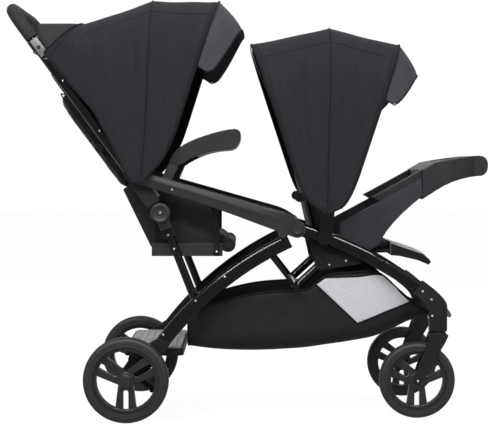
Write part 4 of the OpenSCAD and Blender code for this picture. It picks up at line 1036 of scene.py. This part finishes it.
# Material, slot and profile
SCREW = (zinc, "steel", DOME)
COVER = (panel_pp, "charcoal_plastic", CAP)
BOLT_CAP = (charcoal_pp, "charcoal_plastic", CAP)
BOLT = (charcoal_pp, "charcoal_plastic", DOME)


def screw_head(r, rise, profile):
    """A turned head standing along +Z from the origin."""
    ring = [2 * math.pi * k / 32 for k in range(33)]
    head = grid("head", [[Vector((r * a * math.cos(t), r * a * math.sin(t), rise * h)) * MM
                          for t in ring] for a, h in profile])
    merge_close(head, 0.01)
    return head


def fasten(name, body, places, r, rise, kind=SCREW):
    """Copies of one head at places (x, y, z), each facing away from the stroller's middle."""
    mat, slot, profile = kind
    pattern = screw_head(r, rise, profile)
    heads = []
    for x, y, z in places:
        side = math.copysign(1, y)
        twin = own_copy(pattern)
        for v in twin.data.vertices:
            a, b, c = v.co
            v.co = Vector((x * MM + a, y * MM + side * c, z * MM - side * b))
        heads.append(twin)
    bpy.data.objects.remove(pattern)
    row = join(name, heads)
    face_out(row)
    settle(row, 40)
    dress(row, mat)
    carry(row, body)


def both_sides(spots):
    return [(x, s * y, z) for x, y, z in spots for s in (1, -1)]


def surface_y(name, x, z):
    """How far out a CAD node's face is on the left side, at a place in the side view."""
    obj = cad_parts[name]
    back = obj.matrix_world.inverted()
    hit, place, _, _ = obj.ray_cast(back @ Vector((x * MM, 0.6, z * MM)),
                                    back.to_3x3() @ Vector((0, -1, 0)))
    assert hit, (name, x, z)
    return (obj.matrix_world @ place).y / MM


def on_face(name, spots):
    return both_sides([(x, surface_y(name, x, z) - 0.2, z) for x, z in spots])


HINGE = (-222, 527)
FORK_BOLT = (434, 97)
bpy.context.view_layer.update()
fasten("leg_rivets", "base", on_face("rear_legs", [(-132.5, 305), (-214.6, 218), (-58.7, 366)]),
       3.2, 1.8)
fasten("strut_screws", "base",
       on_face("hinge_housings", [(-203, 471)]) + on_face("struts", [(-188, 435)]), 3.2, 1.8)
fasten("hinge_caps", "base", both_sides([(HINGE[0], 220.8, HINGE[1])]), 25.0, 4.0, COVER)
fasten("hinge_rivets", "base", both_sides([(HINGE[0], 222.6, HINGE[1])]), 3.2, 2.4)
fasten("strap_screws", "base", both_sides([(-80, 179.2, 427)]), 3.0, 1.6)
fasten("link_screws", "side_link", both_sides([(-191, 230.5, 587)]), 3.2, 2.0)
fasten("link_caps", "front", on_face("front_legs", [(124, 487)]), 13.5, 3.0, COVER)
fasten("knuckle_screws", "front",
       on_face("front_knuckles", [(445.4, 326), (468, 306), (470, 264)]), 3.0, 1.8)
fasten("bracket_screws", "front", on_face("seat_brackets", [(208.6, 392.8), (251.8, 403)]),
       3.0, 1.8)
fork_y = surface_y("caster_fork_left", *FORK_BOLT) + 0.1
for tag, sign in SIDES:
    for name, y, r, rise, kind in (("fork_bolt_", fork_y, 7.0, 2.4, BOLT_CAP),
                                   ("fork_pin_", fork_y + 1.4, 3.4, 1.4, SCREW)):
        place = (FORK_BOLT[0], sign * y, FORK_BOLT[1])
        fasten(name + tag, "caster_" + tag, [place], r, rise, kind)
fasten("handle_screws", "handle",
       on_face("handle_tubes", [(-466, 861), (-374, 735), (-330, 675)]), 3.0, 1.8)

# Clamp plates of the parent tray on the handle tubes, each with its bolt
PLATE_X, PLATE_Z = -526.0, 945.0
PLATE_SIZE = (50, 3, 21)
PLATE_TURN = 53.8
plate_y = surface_y("handle_tubes", PLATE_X, PLATE_Z)
plate = start_from("clamp_plate_left", bpy.ops.mesh.primitive_cube_add, size=1,
                   location=(PLATE_X * MM, (plate_y + 1.0) * MM, PLATE_Z * MM),
                   rotation=(0, math.radians(PLATE_TURN), 0), scale=[c * MM for c in PLATE_SIZE])
settle(plate)
apply_modifier(plate, "BEVEL", width=1.2 * MM, segments=3)
settle(plate, 30)
dress(plate, latch_pp)
for piece in (plate, mirrored(plate, "clamp_plate_right")):
    carry(piece, "handle")
fasten("bracket_bolts", "handle", both_sides([(PLATE_X, plate_y + 2.4, PLATE_Z)]), 5.0, 2.0, BOLT)


# Moulded faces of the side links: a long crease between a band that looks up and one that looks
# down

LINK_RUN, LINK_SIDE, LINK_DEPTH = (409.0, -133.0), (0.3092, 0.951), 42.0
LINK_FACE_Y = 228.4


def link_at(s, p):
    """A place on a side link: share of the run between its pivots, and of its depth off it."""
    return [pivot + run * s + side * LINK_DEPTH * p
            for pivot, run, side in zip(REAR_PIVOT, LINK_RUN, LINK_SIDE)]


link_top = [link_at(s, p) for s, p in
            [(0.05, 0.38), (0.3, 0.47), (0.6, 0.59), (0.82, 0.67), (0.9, 0.66)]]
link_low = [link_at(s, p) for s, p in
            [(0.05, -0.36), (0.3, -0.3), (0.45, -0.3), (0.62, -0.36), (0.86, -0.42)]]
# Share of the way down the face, and there its rise in mm
LINK_CREASE = [(0, 0.1), (0.04, 1.4), (0.14, 2.3), (0.3, 3.7), (0.42, 4.6), (0.47, 4.4), (0.52, 3.2),
               (0.7, 2.2), (0.88, 1.4), (0.96, 1.0), (1.0, 0.1)]
rows = []
for i in range(61):
    u = i / 60
    fade = min(1.0, 0.35 + 6 * u, 0.25 + 5 * (1 - u))
    row = []
    for v, rise in LINK_CREASE:
        x, z = mix2(along_line(link_top, u), along_line(link_low, u), v)
        row.append(Vector((x, LINK_FACE_Y + rise * fade, z)) * MM)
    rows.append(row)
face = grid("side_link_face_left", rows)
face_out(face)
dress(face, panel_pp)
apply_modifier(face, "SOLIDIFY", thickness=1.0 * MM, offset=-1.0)
settle(face, 24)
for piece in (face, mirrored(face, "side_link_face_right")):
    carry(piece, "side_link")


# Recline knobs behind both seat backs

KNOB_W = 22
NECK_LEN, NECK_W, NECK_H = 24, 14, 17


def recline_knob(name, body, x, y, z, r):
    """A ribbed knob on a square neck that runs forward to the seat's back."""
    knob = start_from("knob", bpy.ops.mesh.primitive_cylinder_add, vertices=36, radius=r * MM,
                      depth=KNOB_W * MM, location=(x * MM, y * MM, z * MM),
                      rotation=(math.pi / 2, 0, 0))
    settle(knob, 30)
    for v in knob.data.vertices:
        off = Vector((v.co.x - x * MM, 0, v.co.z - z * MM))
        if round(math.atan2(off.z, off.x) / math.radians(10)) % 3 == 0:
            v.co -= off * 0.12
    apply_modifier(knob, "BEVEL", width=0.8 * MM, segments=2, limit_method="ANGLE")
    neck = start_from("neck", bpy.ops.mesh.primitive_cube_add, size=1,
                      location=((x + NECK_LEN / 2) * MM, (y - 2) * MM, (z - 1) * MM),
                      scale=(NECK_LEN * MM, NECK_W * MM, NECK_H * MM))
    settle(neck, 30)
    apply_modifier(neck, "BEVEL", width=2.5 * MM, segments=3)
    knob = join(name + "_left", [knob, neck])
    face_out(knob)
    settle(knob, 35)
    dress(knob, black_pp)
    for piece in (knob, mirrored(knob, name + "_right")):
        carry(piece, body)


recline_knob("front_recline_knob", "front_backrest", 134, 120, 565, 13)
recline_knob("rear_recline_knob", "rear_backrest", -381, 150, 692, 12)

# Rolled front edge of the rear seat
ROLL_X, ROLL_Z = -51 * MM, 442 * MM
ROLL_R, ROLL_LEN = 19, 312
roll = start_from("rear_seat_roll", bpy.ops.mesh.primitive_cylinder_add, vertices=40,
                  radius=ROLL_R * MM, depth=ROLL_LEN * MM, location=(ROLL_X, 0, ROLL_Z),
                  rotation=(math.pi / 2, 0, 0))
settle(roll)
apply_modifier(roll, "BEVEL", width=9 * MM, segments=5, limit_method="ANGLE")
apply_modifier(roll, "REMESH", mode="VOXEL", voxel_size=4.5 * MM, use_smooth_shade=True)
for v in roll.data.vertices:
    wave = noise.noise(Vector((v.co.x * 30, v.co.y * 12, v.co.z * 30)))
    v.co += Vector((v.co.x - ROLL_X, 0, v.co.z - ROLL_Z)).normalized() * wave * 1.6 * MM
settle(roll)
dress(roll, seat_cloth)
carry(roll, "base")

# Beads moulded into the tyres' side walls, at two shares of the wheel's radius
BEAD_SHARES = (0.805, 0.865)
BEAD_R = 1.1
for axle, r, x, y in (("rear", 108, -307, 264), ("front", 97, 434, 187)):
    rings = []
    for share in BEAD_SHARES:
        ring = [Vector((x + r * share * math.cos(t), y, r + r * share * math.sin(t))) * MM
                for t in [2 * math.pi * k / 96 for k in range(96)]]
        rings.append(cord_along("bead", ring, BEAD_R, tyre_eva, closed=True))
    beads = join(axle + "_tyre_beads_left", rings)
    carry(beads, axle + "_wheel_left")
    carry(mirrored(beads, axle + "_tyre_beads_right"), axle + "_wheel_right")

# Black tray under the pale footrest: the footrest's own shape, moved forward and down
TRAY_FORWARD, TRAY_DOWN, TRAY_WIDER = 2.5, 5.0, 1.02
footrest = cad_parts["footrest"]
under = own_copy(footrest)
under.name = under.data.name = "footrest_tray"
place = footrest.matrix_world.copy()
under.parent = None
under.matrix_world.identity()
for v in under.data.vertices:
    x, y, z = place @ v.co
    v.co = Vector((x + TRAY_FORWARD * MM, y * TRAY_WIDER, z - TRAY_DOWN * MM))
dress(under, black_pp)
carry(under, "front")
